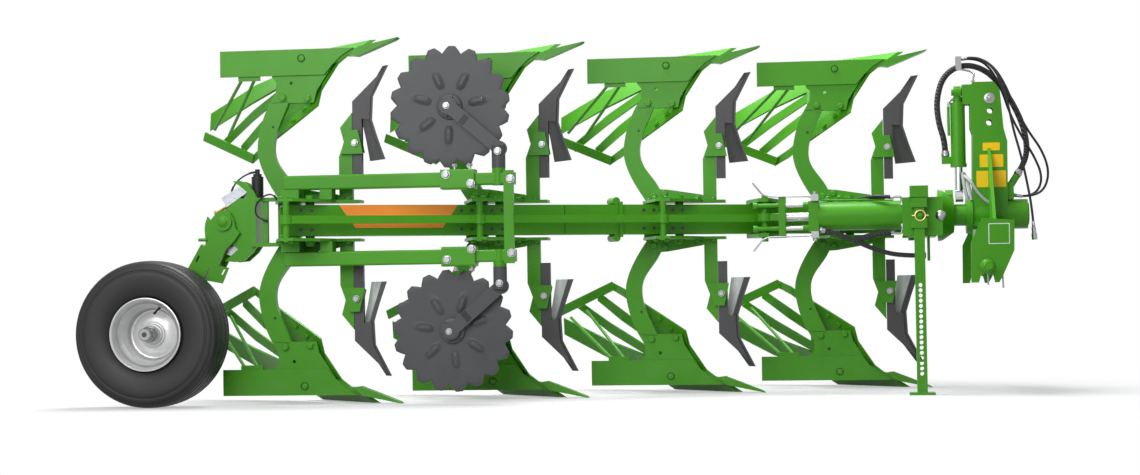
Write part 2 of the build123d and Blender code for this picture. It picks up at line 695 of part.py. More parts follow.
def coulter_bars():
    """Two bars on the rear console, their sleeves, the link plate and the spindle holders."""
    shapes = []
    half = bar_size / 2
    y = swivel_y
    for sign in (-1, 1):
        low = min(sign * (bar_z - half), sign * (bar_z + half))
        long_bar = rounded(block(-545, 236, y - half, y + half, low, low + bar_size))
        sleeve = rounded(block(228, 392, y - half - 12, y + half + 12, low - 12, low + bar_size + 12))
        inner = rounded(block(236, 584, y - half + 6, y + half - 6, low + 6, low + bar_size - 6))
        low_pad = min(sign * (deck_z + 0.3), sign * (bar_z - half + 1))
        high_pad = low_pad + bar_z - half + 1 - deck_z - 0.3
        pad = block(-560, -470, y - half - 12, y + half + 12, low_pad, high_pad)
        pad += block(-370, -310, y - half + 4, y + half + 12, low_pad, high_pad)
        holder = rod((swivel_x, y, sign * (bar_z - half + 4)), (swivel_x, y, sign * 236), 32)
        shape = long_bar + sleeve + inner + pad + holder
        shape -= rod((swivel_x, y, sign * 120), (swivel_x, y, sign * 260), 20 + running_fit)
        shapes.append(shape)
    link = block(536, 583, y - half - 20, y - half + 6, -222, 222)
    return shapes[0] + link + shapes[1]


def coulter_arm():
    """Upper swivel: spindle, cranked flat arm and the disc's hub."""
    y = swivel_y
    shape = rod((swivel_x, y, 158), (swivel_x, y, 240), 20)
    shape += rod((swivel_x, y, 236.3), (swivel_x, y, 345), 33)
    shape += bar((swivel_x + 2, y + 8, 330), (disc_x, y + 8, disc_z), 16, 62)
    shape += rod((swivel_x + 2, y, 330), (swivel_x + 2, y + 16, 330), 38)
    shape += rod((disc_x, y, disc_z), (disc_x, y + 16, disc_z), 36)
    shape += rod((disc_x, y + 2, disc_z), (disc_x, disc_y - 14.3, disc_z), 42)
    shape += rod((disc_x, y + 2, disc_z), (disc_x, disc_y + 24, disc_z), 16)
    return shape


def disc():
    """Upper coulter disc with its notches and hub."""
    shape = rod((disc_x, disc_y - disc_thick / 2, disc_z), (disc_x, disc_y + disc_thick / 2, disc_z), disc_radius)
    mouth = 2 * pi * disc_radius / disc_teeth - tooth_tip
    flank = mouth / 2 * (notch_depth + 6) / notch_depth
    notch = plate_xz([(disc_radius - notch_depth, 0), (disc_radius + 6, flank), (disc_radius + 6, -flank)], -20, 20)
    for i in range(disc_teeth):
        shape -= Pos(disc_x, disc_y, disc_z) * Rot(0, 360.0 / disc_teeth * i, 0) * notch
    shape += rod((disc_x, disc_y - 14, disc_z), (disc_x, disc_y + 20, disc_z), 52)
    shape -= rod((disc_x, -100, disc_z), (disc_x, 0, disc_z), 16 + running_fit)
    return shape


def valve_levers():
    """Valve blocks on the width cylinder's head, above and below, each with its bent lever."""
    valve = block(-498, -460.5, -88, -40, 76.3, 109)
    valve += rod((-479, -64, 109), (-479, -64, 124), 12)
    lever = bent_rod([(-480, -75, 92), (-512, -75, 99), (-706, -75, 102), (-740, -75, 112), (-788, -75, 172)], 4,
                     [30, 60, 40])
    half = valve + lever
    return on_cylinder(half), on_cylinder(flip(half))


def hose_holder():
    """Bent wire on the tower, and the clamp that it carries round the hoses."""
    top = tower_height + 0.3
    wire = bent_rod([(2797, turn_y - 38, top + 4), (2806, turn_y - 30, top + 42), (2786, turn_y, top + 60),
                     (2736, turn_y, top + 72)], 5, [16, 12])
    foot = block(2788, 2808, turn_y - 49, turn_y - 31, top, top + 8)
    clamp = block(2714, 2742, turn_y - 34, turn_y + 34, tower_height + 68, tower_height + 134)
    return wire + foot + clamp - hose(on_axis(sleeved_route), sleeve_diameter + 0.6)


# Routes of the hoses: x, y from the turnover axis, z above it.
sleeved_route = [(2655, 0, 298.3), (2655, 0, 372), (2624, 0, 470), (2614, 0, 590), (2652, 0, 716), (2752, 10, 772),
                 (2868, 44, 744), (2962, 68, 640), (3036, 66, 500), (3068, 50, 372), (3058, 24, 270), (3010, 6, 196)]
tractor_routes = {
    "tractor_hose_a": [(2743.6, -2, 796), (2822, -14, 804), (2900, -40, 752), (2952, -58, 664), (2996, -62, 552),
                       (3062, -58, 420), (3132, -50, 320), (3168, -44, 208), (3140, -38, 112), (3062, -32, 84),
                       (3004, -28, 92)],
    "tractor_hose_b": [(2743.6, 18, 796), (2816, 8, 800), (2890, 14, 750), (2948, 37, 630), (2984, 34, 510),
                       (3040, 16, 392), (3100, 14, 290), (3138, 16, 190), (3116, 20, 112), (3050, 26, 86),
                       (3004, 28, 96)],
    "tractor_hose_c": [(2743.6, -24, 794), (2806, -36, 804), (2880, -64, 764), (2930, -80, 684), (2966, -84, 560),
                       (2990, -84, 424), (3024, -84, 300), (3050, -86, 170), (3074, -88, 30), (3080, -90, -70)],
}
cylinder_route = [(-457.6, -52, -68), (-394, -56, -80), (-290, -46, -124), (-172, -26, -178), (-52, -14, -206),
                  (67, -10, -206)]
wheel_cable_routes = {
    "wheel_cable_a": [(-729, 20, 250), (-760, 18, 244), (-800, 14, 222), (-834, 10, 188), (-846, 10, 152)],
    "wheel_cable_b": [(-588, -76, 103.5), (-606, -76, 134), (-650, -76, 132), (-690, -76, 98), (-704, -74, 56),
                      (-688, -70, 18), (-640, -66, 4)],
}


def on_axis(route):
    """Route points with y measured from the turnover axis."""
    return [(x, turn_y + y, z) for x, y, z in route]


def hose_end(route, gap, length, radius):
    """Fitting that goes on along the last run of a route."""
    last = Vector(*route[-1])
    along = (last - Vector(*route[-2])).normalized()
    return rod(tuple(last + along * gap), tuple(last + along * (gap + length)), radius)


def loose_end():
    """Coupling on the loose tractor hose."""
    route = on_axis(tractor_routes["tractor_hose_c"])
    return hose_end(route, 0.3, 32, 11) + hose_end(route, 32, 32, 14)


if __name__ == "__main__":
    os.makedirs("parts", exist_ok=True)
    body_leg = leg()
    body_landside = landside()
    body_share = [chisel(), share()]
    body_board = solids(moldboard())
    body_stays = solids(stays())
    body_skimmer = solids(skimmer())
    for k in range(body_count):
        x, y = tip(k)
        shape, clamp_bolt = console(k)
        save("console_%d" % k, at(shape, x, y))
        for node, pieces in (("legs", [body_leg]), ("landsides", [body_landside]), ("shares", body_share),
                             ("moldboards", body_board + body_stays),
                             ("skimmers", body_skimmer)):
            lower = solids(pieces)
            save("%s_%d" % (node, k), [at(s, x, y) for s in lower], [at(flip(s), x, y) for s in lower])
    save("beam", beam())
    save("tie_rod", tie_rod())
    save("turning_frame", turning_frame())
    save("turning_shaft", turn_shaft())
    save("width_cylinder_barrel", width_barrel())
    save("width_cylinder_rod", width_rod())
    save("stand_leg", stand_leg())
    save("headstock", headstock())
    save("cross_shaft", cross_shaft())
    save("reversing_cylinder_barrel", reversing_barrel())
    save("reversing_cylinder_rod", reversing_rod())
    save("wheel_bracket", wheel_bracket())
    save("wheel_arm", wheel_arm())
    save("wheel_tyre", tyre())
    save("wheel_rim", rim())
    save("coulter_bars", coulter_bars())
    save("coulter_arm_upper", coulter_arm())
    save("coulter_arm_lower", flip(coulter_arm()))
    save("coulter_disc_upper", disc())
    save("coulter_disc_lower", flip(disc()))
    save("wheel_stops", *wheel_stops())
    save("connector_can", connector_can())
    save("valve_levers", *valve_levers())
    save("hose_holder", hose_holder())
    save("sleeved_hose", hose(on_axis(sleeved_route), sleeve_diameter))
    for name, route in tractor_routes.items():
        save(name, hose(on_axis(route), hose_diameter))
    save("loose_coupling", loose_end())
    save("cylinder_hose", on_cylinder(hose(cylinder_route, bundle_diameter)))
    for name, route in wheel_cable_routes.items():
        save(name, hose(route, cable_diameter))
    for width in (furrow_width_min, furrow_width_max):
        swing = degrees(asin(width / body_pitch) - beam_angle)
        print("furrow width %.0f: the beam swings %.2f degrees" % (width, swing))
    for node in sorted(volumes):
        print("%-28s %9.0f cm3" % (node, volumes[node] / 1000))
    print("total", round(sum(volumes.values()) / 1e9, 4), "m3")
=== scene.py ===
import json
import math

import bmesh
import bpy
from bpy.props import FloatProperty, FloatVectorProperty, IntProperty, PointerProperty
from mathutils import Matrix, Vector


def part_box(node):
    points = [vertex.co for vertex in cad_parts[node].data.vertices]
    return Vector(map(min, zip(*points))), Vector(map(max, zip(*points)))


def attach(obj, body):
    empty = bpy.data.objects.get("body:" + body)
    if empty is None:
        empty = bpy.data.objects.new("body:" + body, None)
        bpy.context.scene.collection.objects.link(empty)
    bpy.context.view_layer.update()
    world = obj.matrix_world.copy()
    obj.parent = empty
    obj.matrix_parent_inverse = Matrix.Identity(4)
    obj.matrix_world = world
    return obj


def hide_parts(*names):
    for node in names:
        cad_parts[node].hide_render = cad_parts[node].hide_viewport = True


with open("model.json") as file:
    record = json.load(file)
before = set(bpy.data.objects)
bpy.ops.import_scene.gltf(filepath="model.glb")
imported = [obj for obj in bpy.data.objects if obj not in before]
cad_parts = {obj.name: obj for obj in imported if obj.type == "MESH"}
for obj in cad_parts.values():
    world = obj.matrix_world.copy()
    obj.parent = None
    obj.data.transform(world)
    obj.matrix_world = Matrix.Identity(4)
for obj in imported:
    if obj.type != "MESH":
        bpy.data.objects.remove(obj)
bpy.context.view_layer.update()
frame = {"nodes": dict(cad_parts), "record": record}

bl_info = {
    "name": "Reversible plough looks",
    "version": (1, 0, 0),
    "blender": (4, 5, 0),
    "location": "View3D > Sidebar > Plough",
    "description": "Paint, tyre, coulter discs, bolts, hoses and studio for a four-furrow reversible plough",
    "category": "Object",
}

UP, DOWN = Vector((0, 0, 1)), Vector((0, 0, -1))
NEAR, FAR = Vector((0, -1, 0)), Vector((0, 1, 0))
AHEAD = Vector((1, 0, 0))

# Sizes of the drawing, in millimetres

BODIES = 4
PITCH_X, PITCH_Y = 861.684, 400.0
TURNOVER_Y = 850.0
CYLINDER_BASE_X, CYLINDER_BASE_Y = 2474.0, 655.0
CYLINDER_EYE_X, CYLINDER_EYE_Y = 1741.0, 666.0
BEAM_FACE = 39.9
BEAM_OUT = Vector((0.421, -0.907, 0))


def spot(x, y, z):
    """A point of the drawing, measured from the rear share point and the beam's middle."""
    return Vector(((x - 765.0) / 1000.0, (y - 699.0) / 1000.0, (z + 892.0) / 1000.0))


def share_tip(k):
    """Where the share point of body k lies in the drawing."""
    return k * PITCH_X, k * PITCH_Y


def on_turnover(x, y, z):
    """A point whose y is measured from the turnover axis."""
    return spot(x, TURNOVER_Y + y, z)


def on_cylinder(x, y, z):
    """A point measured along the width cylinder from its base pin."""
    turn = math.atan2(CYLINDER_BASE_Y - CYLINDER_EYE_Y, CYLINDER_BASE_X - CYLINDER_EYE_X)
    return spot(CYLINDER_BASE_X + x * math.cos(turn) - y * math.sin(turn),
                CYLINDER_BASE_Y + x * math.sin(turn) + y * math.cos(turn), z)


def on_beam(x, out, z):
    """A point on the beam's near face, that far in front of it."""
    return spot(x + out * BEAM_OUT.x, BEAM_FACE + x * PITCH_Y / PITCH_X + out * BEAM_OUT.y, z)


def in_metres(points):
    """Lengths and radii given in millimetres."""
    return [(along / 1000.0, radius / 1000.0) for along, radius in points]


# Node trees and shader maths

class Wire:
    """A node socket that takes part in Python expressions."""

    def __init__(self, tree, socket):
        self.tree = tree
        self.socket = socket

    def _math(self, operation, *values):
        return self.tree.node("ShaderNodeMath", {"operation": operation}, *values)

    def __add__(self, other):
        return self._math("ADD", self, other)

    def __mul__(self, other):
        return self._math("MULTIPLY", self, other)

    def __sub__(self, other):
        return self._math("SUBTRACT", self, other)

    def __rsub__(self, other):
        return self._math("SUBTRACT", other, self)

    def __gt__(self, other):
        return self._math("GREATER_THAN", self, other)

    def either(self, other):
        return self._math("MAXIMUM", self, other)

    def clamped(self):
        return self.tree.node("ShaderNodeClamp", {}, self)


class Tree:
    """A node tree under construction."""

    def __init__(self, tree):
        self.tree = tree
        self.tree.nodes.clear()

    def give(self, socket, value):
        """Links a wire or a list of them to the socket, or sets its value."""
        for one in value if isinstance(value, list) else [value]:
            if isinstance(one, Wire):
                self.tree.links.new(one.socket, socket)
            elif one is not None:
                socket.default_value = one

    def node(self, kind, settings, *values, output=0, **named):
        """A node of that type: its settings first, then what its sockets take. Returns one output."""
        made = self.tree.nodes.new(kind)
        for key, value in settings.items():
            setattr(made, key, value)
        for socket, value in zip(made.inputs, values):
            self.give(socket, value)
        for key, value in named.items():
            self.give(made.inputs[key.replace("_", " ")], value)
        return Wire(self, made.outputs[output]) if made.outputs else None


class Shader(Tree):
    """A material with one principled surface."""

    def __init__(self, name):
        self.material = bpy.data.materials.new(name)
        self.material.use_nodes = True
        super().__init__(self.material.node_tree)
        self.surface = self.tree.nodes.new("ShaderNodeBsdfPrincipled")
        self.node("ShaderNodeOutputMaterial", {}, Wire(self, self.surface.outputs[0]))
        self.place = self.node("ShaderNodeTexCoord", {}, output="Object")

    def fixed(self, **values):
        for key, value in values.items():
            self.surface.inputs[key.replace("_", " ")].default_value = value

    def feed(self, name, wire):
        self.give(self.surface.inputs[name], wire)

    def part(self, axis):
        """The place along x, y or z: 0, 1 or 2."""
        return self.node("ShaderNodeSeparateXYZ", {}, self.place, output=axis)

    def noise(self, scale, detail=3.0, stretch=None):
        place = self.place
        if stretch:
            place = self.node("ShaderNodeMapping", {}, place, Scale=stretch)
        return self.node("ShaderNodeTexNoise", {}, place, Scale=scale, Detail=detail, Roughness=0.55)

    def ramp(self, wire, low, high, first=0.0, last=1.0):
        return self.node("ShaderNodeMapRange", {}, wire, low, high, first, last)

    def blend(self, mask, first, second):
        """The first colour where the mask is 0 and the second where it is 1."""
        made = self.tree.nodes.new("ShaderNodeMix")
        made.data_type = "RGBA"
        sockets = {socket.identifier: socket for socket in [*made.inputs, *made.outputs]}
        for key, value in (("Factor_Float", mask), ("A_Color", first), ("B_Color", second)):
            self.give(sockets[key], value)
        return Wire(self, sockets["Result_Color"])

    def relief(self, height, distance, strength=1.0):
        bump = self.node("ShaderNodeBump", {}, Strength=strength, Distance=distance, Height=height)
        self.feed("Normal", bump)


def shade(colour, factor):
    return (colour[0] * factor, colour[1] * factor, colour[2] * factor, 1.0)


# Finishes

def enamel(name, colour, roughness=0.38, coat=0.08):
    """Sprayed enamel: faint orange peel, soft tone changes and a little dust low down."""
    s = Shader(name)
    tone = s.ramp(s.noise(2.3, 2.0), 0.35, 0.65)
    speck = s.ramp(s.noise(60.0, 4.0), 0.6, 0.75)
    paint = s.blend(tone, shade(colour, 0.93), shade(colour, 1.07))
    low = s.ramp(s.part(2), 0.30, 0.0)
    dust = (low * s.ramp(s.noise(9.0, 5.0), 0.35, 0.75) * 0.10 + speck * 0.03).clamped()
    s.feed("Base Color", s.blend(dust, paint, (0.34, 0.32, 0.27, 1.0)))
    s.feed("Roughness", dust * 0.9 + s.noise(14.0, 2.0) * 0.10 + (roughness - 0.05))
    s.fixed(Coat_Weight=coat, Coat_Roughness=0.2, Specular_IOR_Level=0.2)
    s.relief(s.noise(240.0, 2.0) * 0.5 + s.noise(900.0, 1.0) * 0.2, 0.0006, 0.25)
    return s.material


def steel(name, colour, roughness, metallic=1.0, bump=0.0003):
    """Bare or plated metal."""
    s = Shader(name)
    fine = s.noise(300.0, 2.0)
    tone = s.ramp(s.noise(7.0, 4.0), 0.3, 0.7)
    s.feed("Base Color", s.blend(tone, shade(colour, 0.88), shade(colour, 1.08)))
    s.feed("Roughness", fine * 0.16 + (roughness - 0.08))
    s.fixed(Metallic=metallic)
    s.relief(fine, bump, 0.4)
    return s.material


def skimmer_grey(name, colour, y):
    """Stem paint, and behind y the scoured blade: painted light on a lower one, brighter towards its top
    where it faces up; dark elsewhere.
    """
    s = Shader(name)
    height = s.part(2)
    blade = s.ramp(s.part(1), y, y + 0.004)
    # painted light: the lower blades lighter towards their top, as if lit from above; the upper ones stay
    # dark
    painted_top_light = s.ramp(height + s.noise(9.0, 3.0) * 0.06, 0.37, 0.55) * (1.0 - (height > 0.9))
    scour = s.noise(30.0, 4.0, stretch=(1.0, 1.0, 0.15))
    face = s.blend(painted_top_light, (0.045, 0.045, 0.048, 1.0), (0.70, 0.70, 0.72, 1.0))
    face = s.blend(s.ramp(scour, 0.35, 0.7) * 0.35, face, (0.10, 0.10, 0.10, 1.0))
    s.feed("Base Color", s.blend(blade, shade(colour, 1.0), face))
    s.feed("Roughness", scour * 0.2 + 0.36)
    s.fixed(Specular_IOR_Level=0.35)
    s.relief(scour, 0.0005, 0.3)
    return s.material


def wheel_middle():
    return (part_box("wheel_tyre")[0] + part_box("wheel_tyre")[1]) / 2.0


def ring(s, low, high):
    """1 between two distances from the wheel's axle, in metres, and 0 elsewhere."""
    hub = wheel_middle()
    away_x, away_z = s.part(0) - hub.x, s.part(2) - hub.z
    squared = away_x * away_x + away_z * away_z
    soft = (high - low) / 3.0
    rise = s.ramp(squared, low * low, (low + soft) ** 2)
    return rise * (1.0 - s.ramp(squared, (high - soft) ** 2, high * high))


def wheel_silver(name, grey):
    """Silver paint of the wheel with random grime; rougher, and with painted shade, in the corners of its
    steps.
    """
    s = Shader(name)
    # painted shade: darker rings at the corners of the rim's steps and round the hub, which are also rougher
    # there
    step_shade = ring(s, 0.112, 0.131) * 0.6 + ring(s, 0.146, 0.160) * 0.6 + ring(s, 0.057, 0.068) * 0.4
    grime = s.ramp(s.noise(18.0, 4.0), 0.35, 0.8) * 0.25
    silver = (grey, grey, grey)
    s.feed("Base Color", s.blend((step_shade + grime).clamped(), shade(silver, 1.0), shade(silver, 0.35)))
    s.feed("Roughness", step_shade * 0.2 + s.noise(60.0, 3.0) * 0.1 + 0.26)
    s.fixed(Metallic=0.35, Coat_Weight=0.2)
    return s.material


def tyre_rubber(name, colour):
    """Side wall with painted shade next to the rim and painted light where it swells out and on the shoulder
    ring, varied at random; black tread.
    """
    s = Shader(name)
    # painted shade next to the rim, and painted light where the side wall swells out and on the shoulder ring
    painted_bulge_light = (ring(s, 0.205, 0.334) + ring(s, 0.340, 0.349) * 0.7) * s.ramp(s.noise(5.0, 5.0), 0.2, 0.8, 0.6)
    s.feed("Base Color", s.blend(painted_bulge_light, shade(colour, 0.6), shade(colour, 1.55)))
    s.feed("Roughness", s.noise(9.0, 4.0) * 0.14 + 0.44)
    s.fixed(Specular_IOR_Level=0.4)
    s.relief(s.noise(420.0, 2.0), 0.0006, 0.35)
    return s.material


def banded(name, colour, low, high):
    """Paint, and bright metal between two places along the width cylinder in millimetres."""
    s = Shader(name)
    start = on_cylinder(0, 0, 0)
    along = (on_cylinder(1000, 0, 0) - start).normalized()
    dot = {"operation": "DOT_PRODUCT"}
    place = s.node("ShaderNodeVectorMath", dot, s.place, tuple(along), output="Value")
    place = (place - start.dot(along)) * 1000.0
    bright = s.ramp(place, low, low + 0.5) * (1.0 - s.ramp(place, high, high + 0.5))
    s.feed("Base Color", s.blend(bright, shade(colour, 1.0), (0.46, 0.47, 0.48, 1.0)))
    s.feed("Metallic", bright)
    s.feed("Roughness", s.noise(14.0, 2.0) * 0.1 + 0.33 - bright * 0.1)
    s.fixed(Specular_IOR_Level=0.2, Coat_Weight=0.08)
    return s.material


def rubber(name, colour, roughness):
    """Black rubber with a matt bloom."""
    s = Shader(name)
    bloom = s.ramp(s.noise(5.0, 5.0), 0.35, 0.75)
    s.feed("Base Color", s.blend(bloom, shade(colour, 0.85), shade(colour, 1.5)))
    s.feed("Roughness", bloom * 0.12 + (roughness - 0.04))
    s.fixed(Specular_IOR_Level=0.3)
    s.relief(s.noise(420.0, 2.0), 0.0006, 0.35)
    return s.material


def galvanised_plate(name):
    """Hot-dip galvanised plate with its spangle."""
    s = Shader(name)
    cell = s.node("ShaderNodeTexVoronoi", {"feature": "F1"}, s.place, Scale=70.0, output="Color")
    grey = s.node("ShaderNodeRGBToBW", {}, cell)
    s.feed("Base Color", s.blend(grey, (0.25, 0.265, 0.285, 1.0), (0.43, 0.45, 0.48, 1.0)))
    s.feed("Roughness", grey * 0.18 + 0.28)
    s.fixed(Metallic=0.75)
    return s.material


def sleeve(name):
    """Woven nylon wrap round a bundle of hoses."""
    s = Shader(name)
    bands = {"wave_type": "BANDS", "bands_direction": "DIAGONAL"}
    wrap = s.node("ShaderNodeTexWave", bands, s.place, Scale=30.0, Distortion=0.8, Detail=1.0)
    weave = s.noise(700.0, 2.0)
    light = s.ramp(wrap, 0.2, 0.9)
    s.feed("Base Color", s.blend(light, (0.012, 0.012, 0.013, 1.0), (0.04, 0.04, 0.043, 1.0)))
    s.feed("Roughness", weave * 0.2 + 0.58)
    s.relief(wrap + weave * 0.3, 0.005, 1.0)
    return s.material


FINISH = {}


def mix_finishes():
    """Every material that the pieces share."""
    paint = bpy.context.scene.plough_paint
    FINISH["green"] = enamel("green_enamel", paint.green)
    FINISH["iron"] = enamel("disc_grey", paint.iron, 0.46, 0.1)
    FINISH["orange"] = enamel("orange_stripe", paint.orange, 0.4, 0.2)
    FINISH["yellow"] = enamel("yellow_plate", paint.yellow, 0.4, 0.2)
    FINISH["white"] = enamel("white_edge", (0.80, 0.82, 0.80), 0.4, 0.2)
    # dark green standing for the shade in the plough bolts' countersinks, the leg's hole and the seams:
    # painted shade
    FINISH["groove"] = enamel("green_painted_shade", (0.010, 0.052, 0.005))
    FINISH["crank"] = enamel("crank_grey", (0.026, 0.027, 0.029), 0.46)
    for k in range(BODIES):
        blade_y = spot(0, share_tip(k)[1] + 38, 0).y
        FINISH["stem_%d" % k] = skimmer_grey("skimmer_grey_%d" % k, paint.stem, blade_y)
    FINISH["silver"] = wheel_silver("rim_silver", 0.66)
    FINISH["width_rod"] = banded("width_rod_finish", paint.green, -626, 0)
    FINISH["width_barrel"] = banded("width_barrel_finish", paint.green, -626, -541)
    FINISH["chrome"] = steel("hard_chrome", (0.58, 0.59, 0.60), 0.2, bump=0.0001)
    FINISH["zinc"] = steel("zinc_plated", (0.31, 0.315, 0.32), 0.34)
    FINISH["gold"] = steel("yellow_passivated", (0.78, 0.58, 0.24), 0.32)
    FINISH["copper"] = steel("copper_bolt", (0.80, 0.42, 0.16), 0.34)
    # black standing for the shade inside the beam's holes and the hub cap's bore: painted shade
    FINISH["dark"] = steel("hole_shade_black", (0.06, 0.06, 0.062), 0.45, metallic=0.6)
    FINISH["galvanised"] = galvanised_plate("galvanised")
    FINISH["rubber"] = tyre_rubber("tyre_rubber", (0.0095, 0.0095, 0.0105))
    FINISH["hose"] = rubber("hose_rubber", (0.008, 0.008, 0.009), 0.45)
    FINISH["spiral"] = rubber("grey_spiral_wrap", (0.36, 0.38, 0.38), 0.4)
    FINISH["sleeve"] = sleeve("hose_sleeve")


# the finish of a node of the frame, by its slot or by its own name
NODE_FINISH = {"dark_paint": "iron", "grey_paint": "iron", "silver_paint": "silver", "chrome": "chrome",
               "bare_steel": "zinc", "tyre": "rubber", "hose": "hose", "green_paint": "green"}
OWN_FINISH = {"wheel_stops": "galvanised", "valve_levers": "zinc", "hose_holder": "zinc",
              "cross_shaft": "green", "width_cylinder_rod": "width_rod",
              "width_cylinder_barrel": "width_barrel"}
OWN_FINISH.update({"skimmers_%d" % k: "stem_%d" % k for k in range(BODIES)})


def paint_nodes():
    """Each node of the frame takes its finish."""
    slots = {row["node"]: row["material_slot"] for row in frame["record"]["subparts"]}
    for name, made in frame["nodes"].items():
        finish = FINISH[OWN_FINISH.get(name, NODE_FINISH[slots[name]])]
        for holder in made.material_slots:
            holder.material = finish
        if not made.material_slots:
            made.data.materials.append(finish)


# Mesh helpers

def piece(name, shape, finish, body, crisp=None, replaces=()):
    """Turns a mesh into a piece that rides on a body, smooth below the crisp angle if one is given."""
    mesh = shape
    if isinstance(shape, bmesh.types.BMesh):
        mesh = bpy.data.meshes.new(name)
        bmesh.ops.recalc_face_normals(shape, faces=shape.faces)
        if crisp:
            smooth(shape, crisp)
        shape.to_mesh(mesh)
        shape.free()
    made = bpy.data.objects.new(name, mesh)
    bpy.context.scene.collection.objects.link(made)
    mesh.materials.clear()
    mesh.materials.append(FINISH[finish])
    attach(made, body)
    if replaces:
        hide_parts(*replaces)
    return made


def smooth(bm, angle):
    """Smooth shading with crisp edges above an angle."""
    limit = math.radians(angle)
    bm.normal_update()
    for face in bm.faces:
        face.smooth = True
    for edge in bm.edges:
        edge.smooth = len(edge.link_faces) != 2 or edge.calc_face_angle() < limit


def bridge(bm, first, second):
    """Faces between two closed rows of points."""
    for i in range(len(first)):
        j = (i + 1) % len(first)
        bm.faces.new((first[i], first[j], second[j], second[i]))


def circle(count):
    return [2.0 * math.pi * i / count for i in range(count)]


def about(centre, axis):
    """Gives places by their length along the axis, their radius and their angle round it."""
    axis = axis.normalized()
    side = axis.orthogonal().normalized()
    up = axis.cross(side)
    return lambda along, radius, a: centre + axis * along + (side * math.cos(a) + up * math.sin(a)) * radius


def revolve(bm, profile, centre, axis, count):
    """Adds the closed profile, given as along the axis and radius, turned about an axis through centre."""
    place = about(centre, axis)
    rows = [[bm.verts.new(place(along, radius, a)) for along, radius in profile] for a in circle(count)]
    for first, second in zip(rows, rows[1:] + rows[:1]):
        bridge(bm, first, second)


def turned(bm, outline, centre, axis, count):
    """Adds a solid of revolution whose outline starts and ends on the axis."""
    place = about(centre, axis)
    start = bm.verts.new(place(outline[0][0], 0.0, 0.0))
    end = bm.verts.new(place(outline[-1][0], 0.0, 0.0))
    rows = [[bm.verts.new(place(along, radius, a)) for a in circle(count)] for along, radius in outline[1:-1]]
    for first, second in zip(rows, rows[1:]):
        bridge(bm, first, second)
    for i in range(count):
        j = (i + 1) % count
        bm.faces.new((start, rows[0][i], rows[0][j]))
        bm.faces.new((end, rows[-1][j], rows[-1][i]))


def rod(bm, radius, start, end, centre, axis, count):
    """Adds a plain round or many-sided rod between two lengths along its axis."""
    turned(bm, [(start, 0), (start, radius), (end, radius), (end, 0)], centre, axis, count)


def disc_on(bm, centre, normal, radius, thick, sides=32, dome=0.0):
    """Adds a round head, flat or domed, that stands on a face."""
    outline = [(0.0, 0), (0.0, radius), (thick * 0.75, radius), (thick, radius * 0.92)]
    if dome:
        outline += [(thick + dome * 0.45, radius * 0.80), (thick + dome * 0.80, radius * 0.55),
                    (thick + dome * 0.96, radius * 0.28)]
    outline.append((thick + dome, 0))
    turned(bm, outline, centre, normal, sides)


def ring_on(bm, centre, normal, radius, wire, sides=40):
    """Adds a round wire ring that lies flat on a face."""
    profile = [(wire + wire * math.cos(a), radius + wire * math.sin(a)) for a in circle(8)]
    revolve(bm, profile, centre, normal, sides)


def rounded_plate(bm, corners, normal, thick, radius):
    """Adds a flat plate with the given corners and thickness along normal, its corners rounded."""
    points = []
    for i, corner in enumerate(corners):
        before = (corners[i - 1] - corner).normalized()
        after = (corners[(i + 1) % len(corners)] - corner).normalized()
        for t, pull in ((0.0, 1.0), (0.5, 0.65), (1.0, 1.0)):
            points.append(corner + (before * (1.0 - t) + after * t) * radius * pull)
    low = [bm.verts.new(p) for p in points]
    high = [bm.verts.new(p + normal.normalized() * thick) for p in points]
    bm.faces.new(list(reversed(low)))
    bm.faces.new(high)
    bridge(bm, low, high)


def nurbs(name, points, resolution):
    """A smooth line on its control points."""
    curve = bpy.data.curves.new(name + "_line", "CURVE")
    curve.dimensions = "3D"
    spline = curve.splines.new("NURBS")
    spline.points.add(len(points) - 1)
    for control, place in zip(spline.points, points):
        control.co = (*place, 1.0)
    spline.order_u = 3
    spline.use_endpoint_u = True
    spline.resolution_u = resolution
    return curve


def as_mesh(data, name, tree=None, **inputs):
    """The plain mesh that a curve gives, or that Geometry Nodes make of a mesh with those named inputs."""
    holder = bpy.data.objects.new(name, data)
    bpy.context.scene.collection.objects.link(holder)
    if tree:
        modifier = holder.modifiers.new("repeats", "NODES")
        modifier.node_group = tree
        sockets = {item.name: item.identifier for item in tree.interface.items_tree if item.in_out == "INPUT"}
        for key, value in inputs.items():
            modifier[sockets[key.replace("_", " ")]] = value
    bpy.context.view_layer.update()
    mesh = bpy.data.meshes.new_from_object(holder.evaluated_get(bpy.context.evaluated_depsgraph_get()))
    holder.modifiers.clear()
    bpy.data.objects.remove(holder)
    return mesh


def resampled(path, step):
    """The same line with its points a step apart."""
    out = [path[0]]
    left = step
    for a, b in zip(path, path[1:]):
        run = b - a
        done = 0.0
        while run.length - done >= left:
            done += left
            out.append(a + run.normalized() * done)
            left = step
        left -= run.length - done
    return out


